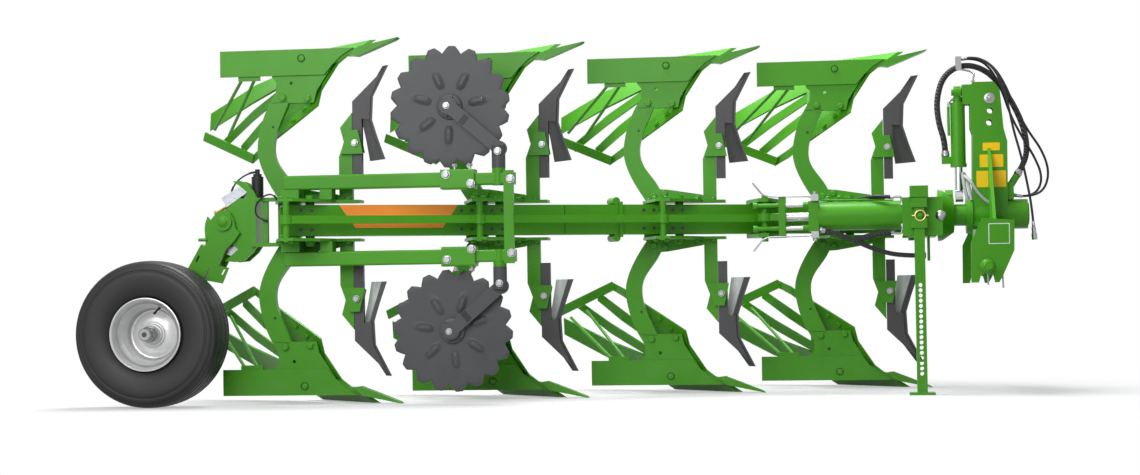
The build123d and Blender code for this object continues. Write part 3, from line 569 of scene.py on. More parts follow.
def tube(name, points, radius, finish, body, ribs=0.0, sides=14):
    """A held pipe or hose along a smooth line on its control points, ribbed where a pitch is given."""
    line = as_mesh(nurbs(name, points, 12), name + "_line")
    path = [v.co.copy() for v in line.vertices]
    bpy.data.meshes.remove(line)
    if ribs:
        path = resampled(path, ribs / 2.0)
    valley = 0.88
    bm = bmesh.new()
    rows = []
    side = None
    for i, place in enumerate(path):
        ahead = (path[min(i + 1, len(path) - 1)] - path[max(i - 1, 0)]).normalized()
        if side is None:
            side = ahead.orthogonal().normalized()
        side = (side - ahead * side.dot(ahead)).normalized()
        up = ahead.cross(side)
        wide = radius * (valley if ribs and i % 2 else 1.0)
        outward = [side * math.cos(a) + up * math.sin(a) for a in circle(sides)]
        rows.append([bm.verts.new(place + out * wide) for out in outward])
    bm.faces.new(rows[0])
    bm.faces.new(list(reversed(rows[-1])))
    for first, second in zip(rows, rows[1:]):
        bridge(bm, first, second)
    return piece(name, bm, finish, body, crisp=60.0)


# Settings

def colour_setting(name, description, default):
    return FloatVectorProperty(name=name, description=description, default=default, min=0.0, max=1.0, size=3,
                               subtype="COLOR")


def length_setting(name, description, default, low, high):
    return FloatProperty(name=name, description=description, default=default, min=low, max=high,
                         unit="LENGTH")


def count_setting(name, description, default, low, high):
    return IntProperty(name=name, description=description, default=default, min=low, max=high)


class PloughPaint(bpy.types.PropertyGroup):
    green: colour_setting("Green", "Enamel of the frame and bodies", (0.059, 0.292, 0.008))
    iron: colour_setting("Disc grey", "Dark grey paint of the coulter discs", (0.070, 0.072, 0.075))
    stem: colour_setting("Skimmer grey", "Grey paint of the skimmer stems", (0.056, 0.054, 0.058))
    orange: colour_setting("Orange", "Stripes on the beam", (1.0, 0.30, 0.045))
    yellow: colour_setting("Yellow", "Blank plates on the tower", (0.96, 0.58, 0.0))


class PloughSizes(bpy.types.PropertyGroup):
    grooves: count_setting("Tyre grooves", "Grooves round the tyre's tread", 4, 2, 6)
    groove_depth: length_setting("Groove depth", "Depth of a tread groove", 0.009, 0.0, 0.02)
    teeth: count_setting("Disc teeth", "Teeth round a coulter disc", 18, 6, 36)
    petals: count_setting("Disc petals", "Pressed petals round a coulter disc", 7, 0, 16)
    petal_height: length_setting("Petal height", "How far a petal stands out", 0.012, 0.0, 0.02)
    bolt_head: length_setting("Bolt head", "Width across a bolt head's corners", 0.030, 0.01, 0.06)


# Studio

def background_rays(tree):
    """1 for the rays that show the white background: from the camera, off metal and through glass."""
    path = tree.tree.nodes.new("ShaderNodeLightPath")
    camera, glossy, through = [Wire(tree, path.outputs["Is %s Ray" % kind])
                               for kind in ("Camera", "Glossy", "Transmission")]
    return camera.either(glossy.either(through))


def add_floor():
    """A floor that shows white and keeps the shadow, its glow weaker near the plough."""
    mesh = bpy.data.meshes.new("floor")
    bm = bmesh.new()
    far = 60.0
    corners = ((-far, -far, 0), (far, -far, 0), (far, far, 0), (-far, far, 0))
    bm.faces.new([bm.verts.new(corner) for corner in corners])
    bm.to_mesh(mesh)
    bm.free()
    ground = bpy.data.objects.new("floor", mesh)
    bpy.context.scene.collection.objects.link(ground)
    material = bpy.data.materials.new("studio_floor")
    material.use_nodes = True
    tree = Tree(material.node_tree)
    shown = background_rays(tree)
    tone = tree.node("ShaderNodeMapRange", {}, shown, 0.0, 1.0, 0.34, 0.66)
    plain = tree.node("ShaderNodeBsdfDiffuse", {}, tone)
    glow = tree.node("ShaderNodeEmission", {}, (1.0, 1.0, 1.0, 1.0), 1.0)
    place = tree.node("ShaderNodeTexCoord", {}, output="Object")
    drawn = tree.node("ShaderNodeVectorMath", {"operation": "MULTIPLY"}, place, (1.0, 1.45, 1.0))
    away = tree.node("ShaderNodeVectorMath", {"operation": "LENGTH"}, drawn, output="Value")
    spread = tree.node("ShaderNodeMapRange", {"interpolation_type": "SMOOTHSTEP"}, away, 2.3, 3.8, 0.44, 1.0)
    mixed = tree.node("ShaderNodeMixShader", {}, shown * spread, plain, glow)
    tree.node("ShaderNodeOutputMaterial", {}, mixed)
    mesh.materials.append(material)


def add_air():
    """Soft light from all round, and a white background."""
    world = bpy.data.worlds.new("studio")
    bpy.context.scene.world = world
    world.use_nodes = True
    tree = Tree(world.node_tree)
    air = tree.node("ShaderNodeBackground", {}, (0.93, 0.96, 1.0, 1.0), 0.38)
    white = tree.node("ShaderNodeBackground", {}, (1.0, 1.0, 1.0, 1.0), 1.0)
    mixed = tree.node("ShaderNodeMixShader", {}, background_rays(tree), air, white)
    tree.node("ShaderNodeOutputWorld", {}, mixed)


def add_lamp(name, place, aim, size, watts):
    lamp = bpy.data.lights.new(name, "AREA")
    lamp.shape = "SQUARE"
    lamp.size = size
    lamp.energy = watts
    holder = bpy.data.objects.new(name, lamp)
    bpy.context.scene.collection.objects.link(holder)
    holder.location = place
    holder.rotation_euler = (Vector(aim) - Vector(place)).to_track_quat("-Z", "Y").to_euler()


def add_camera():
    """The camera at the photograph's viewpoint, as fitted to points that repeat on the four bodies."""
    photo_width, focal_pixels = 1140.0, 2046.8
    turn, rise, roll = math.radians(7.9), math.radians(-1.62), math.radians(-0.85)
    lens = bpy.data.cameras.new("view")
    lens.sensor_width = 36.0
    lens.sensor_fit = "HORIZONTAL"
    lens.lens = lens.sensor_width * focal_pixels / photo_width
    lens.clip_start = 0.1
    lens.clip_end = 200.0
    camera = bpy.data.objects.new("view", lens)
    bpy.context.scene.collection.objects.link(camera)
    ahead = Vector((-math.sin(turn) * math.cos(rise), math.cos(turn) * math.cos(rise), -math.sin(rise)))
    camera.location = spot(2185.5, -9733.3, -379.3)
    aimed = ahead.to_track_quat("-Z", "Y").to_matrix().to_4x4()
    camera.rotation_euler = (aimed @ Matrix.Rotation(roll, 4, "Z")).to_euler()
    bpy.context.scene.camera = camera


def add_stage():
    add_floor()
    add_air()
    add_lamp("roof_light", (-0.3, 0.4, 6.0), (0.0, 0.0, 0.6), 2.8, 570.0)
    add_lamp("front_light", (-2.0, -8.0, 4.0), (0.0, 0.0, 0.9), 5.0, 420.0)
    bpy.context.scene.view_settings.view_transform = "Standard"
    add_camera()


# Bolts

# inputs of the bolts' node tree: name, kind and default
BOLT_INPUTS = [("Points", "Geometry", None), ("Head width", "Float", 0.030), ("Head height", "Float", 0.011),
               ("Washer", "Float", 0.036), ("Washer height", "Float", 0.003), ("Finish", "Material", None),
               ("Seed", "Int", 3)]


def bolt_tree():
    """Geometry Nodes: a hexagon head on a washer at each point, turned along its heading and scaled."""
    group = bpy.data.node_groups.new("bolt_rows", "GeometryNodeTree")
    tree = Tree(group)
    for name, kind, default in BOLT_INPUTS:
        socket = group.interface.new_socket(name, in_out="INPUT", socket_type="NodeSocket" + kind)
        if default is not None:
            socket.default_value = default
    group.interface.new_socket("Bolts", in_out="OUTPUT", socket_type="NodeSocketGeometry")
    outlets = group.nodes.new("NodeGroupInput").outputs
    given = {socket.name: Wire(tree, socket) for socket in outlets if socket.name}

    def cone(sides, low, high, depth, lift):
        made = tree.node("GeometryNodeMeshCone", {"fill_type": "NGON"}, Vertices=sides, Radius_Bottom=low,
                         Radius_Top=high, Depth=depth, output="Mesh")
        offset = tree.node("ShaderNodeCombineXYZ", {}, Z=lift)
        return tree.node("GeometryNodeTransform", {}, made, Translation=offset)

    def attribute(kind, name):
        return tree.node("GeometryNodeInputNamedAttribute", {"data_type": kind}, name, output="Attribute")

    half, washer = given["Head width"] * 0.5, given["Washer"] * 0.5
    thin, height = given["Washer height"], given["Head height"]
    side, cap = height * 0.8, height * 0.2
    head = [cone(24, washer, washer, thin, 0.0), cone(6, half, half, side, thin),
            cone(6, half, half * 0.84, cap, thin + side)]
    head = tree.node("GeometryNodeJoinGeometry", {}, head)
    heading, size = attribute("FLOAT_VECTOR", "heading"), attribute("FLOAT", "size")
    sixth = 1.047
    spun = tree.node("FunctionNodeRandomValue", {"data_type": "FLOAT"}, None, None, 0.0, sixth, output=1,
                     Seed=given["Seed"])
    aligned = tree.node("FunctionNodeAlignRotationToVector", {"axis": "Z"}, Vector=heading)
    twist = tree.node("FunctionNodeAxisAngleToRotation", {}, (0.0, 0.0, 1.0), spun)
    turn = tree.node("FunctionNodeRotateRotation", {"rotation_space": "LOCAL"}, aligned, twist)
    placed = tree.node("GeometryNodeInstanceOnPoints", {}, given["Points"], Instance=head,
                       Rotation=turn, Scale=size)
    real = tree.node("GeometryNodeRealizeInstances", {}, placed)
    tree.node("NodeGroupOutput", {}, tree.node("GeometryNodeSetMaterial", {}, real, Material=given["Finish"]))
    return group


def set_bolts(name, tree, rows, finish, body):
    """One mesh of bolts for one body. Each row is a place, a direction and a size."""
    points = bpy.data.meshes.new(name + "_points")
    points.from_pydata([tuple(row[0]) for row in rows], [], [])
    heading = points.attributes.new("heading", "FLOAT_VECTOR", "POINT")
    heading.data.foreach_set("vector", [c for row in rows for c in row[1]])
    size = points.attributes.new("size", "FLOAT", "POINT")
    size.data.foreach_set("value", [row[2] for row in rows])
    width = bpy.context.scene.plough_sizes.bolt_head
    mesh = as_mesh(points, name + "_points", tree, Head_width=width, Finish=FINISH[finish])
    mesh.name = name
    return piece(name, mesh, finish, body)


# on a console's deck plates: x and y from the body's share point, and size
DECK_BOLTS = [(-585, -5, 1.0), (-530, -230, 0.9), (-470, -270, 0.9), (-330, -60, 0.9), (-250, -12, 0.9)]
# on a console's leg cheek: x from the share point, height, and size
LEG_BOLTS = [(-560, 128, 1.1), (-505, 140, 1.1), (-330, 118, 0.9)]
# on the coulter bars' near faces: x, y, height, and size
BAR_BOLTS = [(256, -122, 208, 1.15), (377, -122, 163, 1.15), (570, -130, 181, 1.15), (377, -122, -151, 1.15),
             (257, -122, -199, 1.15), (571, -130, -173, 1.15)]
# on a leg's frog, near face: x from the share point, height, and size
FROG_BOLTS = [(-584, 612, 1.15), (-459, 606, 1.1)]
# on the moldboard's back behind the shin: x and y from the share point, height, and size
SHIN_BOLTS = [(-486, 66, 557, 0.95), (-545, 81.5, 507, 0.85)]
# on the beam's near face beside each console: x from the share point; the rear one has the last two
BEAM_HOLES = [-588, -539, -509, -447, -400]
# the near faces of frog and landside, from the share point
FROG_FACE, LANDSIDE_FACE = 23.8, 9.9
# the seam where the leg passes behind the frog: x from the share point, and height
LEG_SEAM = [(-640, 586), (-556, 591), (-556, 593.5), (-640, 588.5)]


def add_body_marks(k, x0, y0):
    """Painted shade: dark rings round the plough bolts on the landsides, a dark disc for the leg's hole and a
    dark line at its seam with the frog; and the bolts' green heads.
    """
    rings, heads = bmesh.new(), bmesh.new()
    for sign in (1, -1):
        plough_bolt = spot(x0 - 486, y0 + LANDSIDE_FACE, sign * 804)
        ring_on(rings, plough_bolt, NEAR, 0.0175, 0.0016)
        disc_on(heads, plough_bolt, NEAR, 0.0145, 0.0012, 32, 0.0012)
        disc_on(rings, spot(x0 - 635, y0 + FROG_FACE, sign * 470), NEAR, 0.0065, 0.0010, 20)
        seam = [spot(x0 + x, y0 + FROG_FACE, sign * z) for x, z in LEG_SEAM]
        rounded_plate(rings, seam, NEAR, 0.0006, 0.0008)
    piece("body_marks_%d" % k, rings, "groove", "console_%d" % k)
    piece("plough_bolts_%d" % k, heads, "green", "console_%d" % k, crisp=30.0)


def add_console_bolts(k, tree):
    """The bolts of one console and its bodies, and black discs of painted shade in the beam's holes beside
    it.
    """
    x0, y0 = share_tip(k)
    rows, bright = [], []
    for sign, way in ((1, UP), (-1, DOWN)):
        rows += [(spot(x0 + x, y0 + y, sign * 101), way, size) for x, y, size in DECK_BOLTS]
        rows += [(spot(x0 + x, y0 + 6, sign * z), NEAR, size) for x, z, size in LEG_BOLTS]
        rows += [(spot(x0 + x, y0 + FROG_FACE, sign * z), NEAR, size) for x, z, size in FROG_BOLTS]
        back = Vector((-0.52, -0.765, 0.37 * sign))
        rows += [(spot(x0 + x, y0 + y, sign * z), back, size) for x, y, z, size in SHIN_BOLTS]
        bright.append((spot(x0 - 217, y0 - 12, sign * 380), NEAR, 0.95))
    set_bolts("console_bolts_%d" % k, tree, rows, "green", "console_%d" % k)
    set_bolts("skimmer_bolts_%d" % k, tree, bright, "zinc", "console_%d" % k)
    # black discs in the beam's holes: painted shade
    hole_shade = bmesh.new()
    for x in BEAM_HOLES if k else BEAM_HOLES[3:]:
        for z in (47, -45):
            disc_on(hole_shade, on_beam(x0 + x, 0.0, z), BEAM_OUT, 0.009, 0.0012, 20)
    piece("beam_hole_shade_%d" % k, hole_shade, "dark", "beam")
    add_body_marks(k, x0, y0)


def add_clamp_bolts():
    """The bolts that stand up and down from the coulter bars' clamp."""
    bm = bmesh.new()
    for x, way, z in ((294, UP, 230), (369, UP, 230), (294, DOWN, -226), (372, DOWN, -226)):
        foot = spot(x, -95, z)
        rod(bm, 0.0065, 0.0, 0.018, foot, way, 12)
        head = [(0, 0), (0, 0.014), (0.012, 0.014), (0.014, 0.011), (0.014, 0)]
        turned(bm, head, foot + way * 0.017, way, 6)
    piece("clamp_bolts", bm, "zinc", "console_0", crisp=30.0)


def add_bolts():
    tree = bolt_tree()
    for k in range(BODIES):
        add_console_bolts(k, tree)
    rows = [(spot(x, y, z), NEAR, size) for x, y, z, size in BAR_BOLTS]
    set_bolts("bar_bolts", tree, rows, "zinc", "console_0")
    add_clamp_bolts()
    for name, sign in (("upper", 1), ("lower", -1)):
        arm = "coulter_swivel_" + name
        rows = [(spot(507, -107.6, sign * 316), NEAR, 1.0), (spot(252, -74.8, sign * 544), NEAR, 0.9)]
        set_bolts(arm + "_bolts", tree, rows, "zinc", arm)
        along, across = Vector((0.77, 0, -0.64 * sign)) * 0.015, Vector((0.64 * sign, 0, 0.77)) * 0.025
        middle = spot(337, -74.8, sign * 472)
        crank = bmesh.new()
        corners = [middle + along * u + across * v for u, v in ((-1, -1), (1, -1), (1, 1), (-1, 1))]
        rounded_plate(crank, corners, NEAR, 0.0012, 0.001)
        piece(arm + "_crank", crank, "crank", arm)


# Wheel

def tread_profile(radius, grooves, deep):
    """Places across the tread, as a share of half the tyre's width, and their radii."""
    spread, lip, floor, crown = 0.60, 0.058, 0.0319, 0.0075
    profile = []
    for i in reversed(range(grooves)):
        middle = spread * (2.0 * i / max(grooves - 1, 1) - 1.0)
        for offset, depth in ((lip, 0.0), (floor, deep), (-floor, deep), (-lip, 0.0)):
            across = middle + offset
            profile.append((across, radius - crown * across * across - depth))
    return profile


# a tyre's side from the bead to the tread: share of half the width, and radius in millimetres
TYRE_SIDE = [(0.745, 174), (0.80, 184), (0.87, 196), (0.93, 214), (0.97, 236), (0.995, 262), (1.0, 280),
             (0.994, 293), (0.978, 300), (0.958, 303), (0.955, 307), (0.972, 311), (0.972, 318),
             (0.952, 326), (0.925, 331), (0.898, 333.5), (0.893, 337), (0.884, 341.5), (0.84, 346.5),
             (0.79, 349.2), (0.75, 350.4)]


def add_tyre():
    """Implement tyre: grooved tread, shoulder ribs, bead line."""
    sizes = bpy.context.scene.plough_sizes
    low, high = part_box("wheel_tyre")
    radius = (high.z - low.z) / 2.0
    half = (high.y - low.y) / 2.0
    side = [(u, r / 1000.0) for u, r in TYRE_SIDE]
    inside = [(0.52, radius - 0.034), (0.70, radius - 0.085), (0.66, 0.170)]
    profile = side + tread_profile(radius, sizes.grooves, sizes.groove_depth)
    profile += [(-u, r) for u, r in reversed(side)]
    profile += [(-u, r) for u, r in reversed(inside)] + inside
    bm = bmesh.new()
    revolve(bm, [(half * u, r) for u, r in profile], wheel_middle(), FAR, 160)
    piece("tyre", bm, "rubber", "wheel", crisp=28.0, replaces=("wheel_tyre",))


# outlines of the wheel in millimetres: distance to the near side of its middle, and radius
RIM_NEAR = [(112, 177), (116, 176), (117, 172), (112, 167), (104, 163), (88, 160), (82, 157), (75, 147),
            (66, 143), (32, 141), (24, 138), (15, 130), (4, 126), (-14, 122), (-20, 117), (-22, 110),
            (-18, 100), (-10, 84), (-4, 66), (-2, 46), (-2, 38), (-7, 38), (-7, 46), (-9, 66), (-15, 84),
            (-23, 101), (-27, 110), (-26, 119), (-19, 127), (2, 131), (10, 135), (18, 143), (27, 146),
            (64, 148), (70, 152), (78, 162), (86, 165), (102, 168), (108, 172), (108, 177)]
RIM_FAR = [(-112, 177), (-117, 174), (-112, 167), (-90, 161), (-80, 150), (20, 147), (20, 151), (-78, 154),
           (-88, 165), (-108, 172)]
HUB = [(-84, 0), (-84, 50), (-2, 50), (4, 46), (4, 40.5), (44, 39.5), (48, 36), (48, 0)]
HUB_SEAL = [(-2, 54), (-2, 60), (2, 59), (2, 55)]
CAP_FLANGE = [(48, 0), (48, 41), (53, 41), (55, 39), (55, 0)]
CAP_NUT = [(55, 0), (55, 36), (58, 39), (80, 39), (84, 35), (84, 0)]
CAP_END = [(84, 0), (84, 31.5), (118, 31.5), (123.5, 27), (123.5, 13), (121.5, 12), (121.5, 0)]
VALVE = [(0, 0), (0, 8), (6, 8), (10, 5.5), (34, 4.5), (36, 6.0), (48, 6.0), (50, 0)]


def add_rim():
    """Stepped disc rim with its bearing hub, cap, nut and valve."""
    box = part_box("wheel_rim")
    middle = (box[0] + box[1]) / 2.0
    middle.y = wheel_middle().y
    rim = bmesh.new()
    revolve(rim, in_metres(RIM_NEAR), middle, NEAR, 128)
    revolve(rim, in_metres(RIM_FAR), middle, NEAR, 128)
    piece("rim_disc", rim, "silver", "wheel", crisp=32.0, replaces=("wheel_rim",))
    hub = bmesh.new()
    turned(hub, in_metres(HUB), middle, NEAR, 48)
    revolve(hub, in_metres(HUB_SEAL), middle, NEAR, 48)
    piece("hub_housing", hub, "silver", "wheel", crisp=40.0)
    cap = bmesh.new()
    for outline, sides in ((CAP_FLANGE, 48), (CAP_NUT, 6), (CAP_END, 48)):
        turned(cap, in_metres(outline), middle, NEAR, sides)
    piece("hub_cap", cap, "zinc", "wheel", crisp=30.0)
    # a black disc in the cap's end: painted shade in its bore
    bore = bmesh.new()
    disc_on(bore, middle + NEAR * 0.1213, NEAR, 0.0115, 0.0006, 24)
    piece("hub_bore", bore, "dark", "wheel")
    valve = bmesh.new()
    turned(valve, in_metres(VALVE), middle + Vector((0.054, -0.050, 0.130)), Vector((-0.45, -0.8, -0.75)), 16)
    piece("valve", valve, "hose", "wheel", crisp=40.0)


# Coulter discs

DISC_RADIUS = 0.295
NOTCH_STEPS = 4


def disc_edge(teeth):
    """Angles and radii round a notched disc: flat tips, and notches drawn in finer steps."""
    pitch = 2.0 * math.pi / teeth
    tip = 0.030 / DISC_RADIUS
    tooth = [(-tip * 0.55, 0.0), (-tip * 0.2, 0.0), (tip * 0.2, 0.0), (tip * 0.55, 0.0),
             (pitch * 0.36, 0.020), (pitch * 0.5, 0.034), (pitch * 0.64, 0.020)]
    corners = [(pitch * i + offset, DISC_RADIUS - depth) for i in range(teeth) for offset, depth in tooth]
    edge = []
    for i, (a0, r0) in enumerate(corners):
        a1, r1 = corners[(i + 1) % len(corners)]
        if a1 < a0:
            a1 += 2.0 * math.pi
        steps = NOTCH_STEPS if i % len(tooth) >= 3 else 1
        edge += [(a0 + (a1 - a0) * j / steps, r0 + (r1 - r0) * j / steps) for j in range(steps)]
    return edge


def petal_height(a, r, petals, middle=0.138, length=0.046, width=0.023):
    """Height of the pressed petals at an angle and radius, 0 to 1."""
    if petals == 0:
        return 0.0
    pitch = 2.0 * math.pi / petals
    turn = a / pitch - 0.5
    off = (turn - round(turn)) * pitch
    across = abs(off * r) / width
    along = abs(r - middle) / length
    return max(0.0, min(1.0, (1.0 - across) * 1.35, (1.0 - along) * 2.2, (1.45 - across - along) * 1.6))


# rows of a disc's face: largest radius, least distance to the edge, and half the thickness there
DISC_ROWS = [(radius, 0.013, 0.003) for radius in
             (0.050, 0.075, 0.092, 0.100, 0.108, 0.116, 0.124, 0.132, 0.140, 0.148, 0.156, 0.164,
              0.172, 0.182, 0.200, 0.225, 0.250, 0.262)]
DISC_ROWS += [(DISC_RADIUS, 0.012, 0.003), (DISC_RADIUS, 0.0, 0.0008)]
DISC_HUB = [(-18, 51), (-14, 61), (-6, 64), (6, 64), (14, 61), (19, 50), (19, 17), (-14, 16.5), (-18, 30)]
HUB_BOLT = [(-2, 0), (-2, 8), (7, 8), (9, 6), (9, 0)]


def disc_face(bm, centre, turn, side, edge):
    """Rows of points on one face of a disc, from its hub to its edge."""
    sizes = bpy.context.scene.plough_sizes
    rows = []
    for level, margin, half in DISC_ROWS:
        row = []
        for a, r in edge:
            reach = min(level, r - margin)
            press = petal_height(a, reach, sizes.petals) * sizes.petal_height
            place = Vector((math.sin(a + turn) * reach, side * half - press, math.cos(a + turn) * reach))
            row.append(bm.verts.new(centre + place))
        rows.append(row)
    for inner, outer in zip(rows, rows[1:]):
        bridge(bm, inner, outer)
    return rows


def add_discs():
    """Two notched discs with pressed petals, each with its hub and six bolts."""
    edge = disc_edge(bpy.context.scene.plough_sizes.teeth)
    for name, z, turn in (("coulter_disc_upper", 541.0, 0.045), ("coulter_disc_lower", -541.0, -0.10)):
        centre = spot(262.0, -32.0, z)
        bm = bmesh.new()
        near, far = [disc_face(bm, centre, turn, side, edge) for side in (-1.0, 1.0)]
        bridge(bm, near[0], far[0])
        bridge(bm, near[-1], far[-1])
        revolve(bm, in_metres(DISC_HUB), centre, FAR, 64)
        for a in circle(6):
            a += 0.3
            head = centre + Vector((math.sin(a) * 0.047, -0.016, math.cos(a) * 0.047))
            turned(bm, in_metres(HUB_BOLT), head, NEAR, 6)
        piece(name + "_pressed", bm, "iron", name, crisp=24.0, replaces=(name,))


# Hoses and cables: body, finish, diameter, length, far end, and the route's control points

SLEEVED = [(2655, 0, 298.3), (2655, 0, 372), (2624, 0, 470), (2614, 0, 590), (2652, 0, 716), (2752, 10, 772),
           (2868, 44, 744), (2962, 68, 640), (3036, 66, 500), (3068, 50, 372), (3058, 24, 270),
           (3010, 6, 196)]
LOOP_A = [(2743.6, -2, 796), (2822, -14, 804), (2900, -40, 752), (2952, -58, 664), (2996, -62, 552),
          (3062, -58, 420), (3132, -50, 320), (3168, -44, 208), (3140, -38, 112), (3062, -32, 84),
          (3004, -28, 92)]
LOOP_B = [(2743.6, 18, 796), (2816, 8, 800), (2890, 14, 750), (2948, 37, 630), (2984, 34, 510),
          (3040, 16, 392), (3100, 14, 290), (3138, 16, 190), (3116, 20, 112), (3050, 26, 86), (3004, 28, 96)]
LOOSE = [(2743.6, -24, 794), (2806, -36, 804), (2880, -64, 764), (2930, -80, 684), (2966, -84, 560),
         (2990, -84, 424), (3024, -84, 300), (3050, -86, 170), (3074, -88, 30), (3080, -90, -70)]
BUNDLE = [(-457.6, -52, -68), (-394, -56, -80), (-290, -46, -124), (-172, -26, -178), (-52, -14, -206),
          (67, -10, -206)]
CABLE_A = [(-729, 20, 250), (-760, 18, 244), (-800, 14, 222), (-834, 10, 188), (-846, 10, 152)]
CABLE_B = [(-588, -76, 103.5), (-606, -76, 134), (-650, -76, 132), (-690, -76, 98), (-704, -74, 56),
           (-688, -70, 18), (-640, -66, 4)]
CORDS = {
    "sleeved_hose": (on_turnover, SLEEVED, "headstock", "sleeve", 0.030, 1.277, "object", "hanging"),
    "tractor_hose_a": (on_turnover, LOOP_A, "headstock", "hose", 0.012, 1.016, "object", "hanging"),
    "tractor_hose_b": (on_turnover, LOOP_B, "headstock", "hose", 0.012, 0.966, "object", "hanging"),
    "tractor_hose_c": (on_turnover, LOOSE, "headstock", "hose", 0.012, 1.014, "connector", "hanging"),
    "cylinder_hose": (on_cylinder, BUNDLE, "width_barrel", "sleeve", 0.024, 0.555, "fitting", "loose"),
    "wheel_cable_a": (spot, CABLE_A, "console_0", "hose", 0.008, 0.163, "object", "loose"),
    "wheel_cable_b": (spot, CABLE_B, "console_0", "hose", 0.008, 0.258, "object", "loose"),
}
# a ferrule from the hose's end: metres along it, and radius as a share of the hose's diameter
FERRULE = [(0.0012, 0), (0.0012, 0.62), (0.004, 0.70), (0.016, 0.70), (0.019, 0.64), (0.030, 0.60),
           (0.031, 0)]
# a line up to this thick is a cable, with rubber ends in place of plated ones
CABLE_DIAMETER = 0.010


def add_cords():
    """Every hose and cable on the control points of its route, with a ferrule at each end."""
    for node, (frame_of, route, body, finish, diameter, length, far_end, lay) in CORDS.items():
        points = [frame_of(*place) for place in route]
        curve = nurbs(node, points, 16)
        curve.bevel_depth = diameter / 2.0
        curve.bevel_resolution = 5
        curve.use_fill_caps = True
        curve.materials.append(FINISH[finish])
        made = bpy.data.objects.new(node + "_line", curve)
        bpy.context.scene.collection.objects.link(made)
        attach(made, body)
        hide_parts(node)
        ferrules = bmesh.new()
        outline = [(along, share * diameter) for along, share in FERRULE]
        for place, after in ((points[0], points[1]), (points[-1], points[-2])):
            turned(ferrules, outline, place, after - place, 20)
        ends = [piece(node + "_ferrules", ferrules, "zinc" if diameter > CABLE_DIAMETER else "hose", body,
                      crisp=40.0)]
        if node == "tractor_hose_c":
            ends.insert(0, frame["nodes"]["loose_coupling"])


# Held pipes and hoses: frame, route, radius, finish, body and pitch of the ribs

PIPES = {
    "linch_pin_0": (spot, [(2827, 452, -280), (2831, 452, -310), (2831, 452, -358)], 0.0045,
                    "zinc", "headstock", 0),
    "linch_pin_1": (spot, [(2899, 452, -296), (2903, 452, -326), (2903, 452, -374)], 0.0045,
                    "zinc", "headstock", 0),
    "port_pipe": (on_turnover, [(2674, -20, 404), (2672, -20, 470), (2673, -20, 556)], 0.0075,
                  "green", "headstock", 0.011),
    "port_elbow": (on_turnover, [(2673, -20, 554), (2673, -20, 584), (2700, -10, 590)], 0.006,
                   "zinc", "headstock", 0),
    "spiral_hose_a": (on_turnover, [(2737, -28, 214), (2741, -42, 176), (2748, -50, 120), (2762, -56, 62)],
                      0.010, "spiral", "headstock", 0.009),
    "spiral_hose_b": (on_turnover, [(2744, -14, 210), (2760, -44, 180), (2772, -58, 110), (2778, -70, 66)],
                      0.009, "spiral", "headstock", 0.009),
    "spiral_hose_c": (on_turnover, [(2744, -40, 196), (2770, -76, 176), (2800, -80, 120), (2838, -80, 72),
                                    (2884, -78, 42)], 0.009, "spiral", "headstock", 0.009),
    "elbow_upper": (on_cylinder, [(-98, -56, 88), (-62, -56, 90), (-48, -56, 84), (-47, -55, 52)], 0.006,
                    "zinc", "width_barrel", 0),
    "elbow_lower": (on_cylinder, [(-98, -56, -92), (-62, -56, -96), (-48, -56, -90), (-47, -55, -56)], 0.006,
                    "zinc", "width_barrel", 0),
    "cylinder_pipe": (on_cylinder, [(-452, -20, 84), (-400, -20, 79), (-330, -18, 79), (-180, -18, 79),
                                    (-130, -40, 84), (-100, -56, 88)], 0.0045, "green", "width_barrel", 0),
    "cylinder_feed": (on_cylinder, [(-104, -56, 88), (-150, -50, 93), (-200, -20, 92), (-262, 20, 84)], 0.010,
                      "hose", "width_barrel", 0),
    "cylinder_return": (on_cylinder, [(-104, -56, -88), (-160, -58, -92), (-240, -46, -112),
                                      (-300, -40, -128)], 0.015, "sleeve", "width_barrel", 0.012),
}


def add_pipes():
    for name, (frame_of, route, radius, finish, body, ribs) in PIPES.items():
        tube(name, [frame_of(*place) for place in route], radius, finish, body, ribs)


# Pins, caps, plates and stripes

# blank plates on faces of the headstock: finish, y, left, bottom, right, top, and thickness
PLATES = {
    "yellow_plate_0": ("yellow", 783.9, 2838, 321, 2923, 361, 0.0008),
    "yellow_plate_1": ("yellow", 783.9, 2822, 237, 2939, 301, 0.0008),
    "yellow_plate_2": ("yellow", 783.9, 2804, 136, 2951, 219, 0.0008),
    "blank_badge_rim": ("white", 437.4, 2836, -159, 2938, -58, 0.0008),
    "blank_badge": ("green", 436.5, 2840, -155, 2934, -62, 0.0006),
}
# heads of pins: finish, body, and for each disc its place, direction, radius, thickness, sides and dome
PIN_HEADS = {
    "top_link_pin": ("zinc", "headstock", [(spot(2878, 799.8, 588), NEAR, 0.027, 0.004, 36, 0.0),
                                           (spot(2878, 795.8, 588), NEAR, 0.018, 0.008, 6, 0.0),
                                           (spot(2878, 785.8, 588), NEAR, 0.009, 0.006, 20, 0.002)]),
    "link_pin_heads": ("green", "headstock", [(spot(2826, 425.4, -266), NEAR, 0.036, 0.006, 40, 0.016),
                                              (spot(2826, 1274.6, -266), FAR, 0.036, 0.006, 40, 0.016)]),
    "stand_pin": ("green", "turning_frame", [(spot(2509, 442.6, -13), NEAR, 0.014, 0.014, 24, 0.004)]),
    "pivot_cap": ("zinc", "turning_frame", [(spot(2611, 499.8, -13), NEAR, 0.026, 0.008, 40, 0.014)]),
    "arm_pivot_cap": ("green", "wheel_arm", [(spot(-867, -74, 5), NEAR, 0.030, 0.003, 36, 0.0),
                                             (spot(-867, -77, 5), NEAR, 0.022, 0.006, 36, 0.003)]),
}
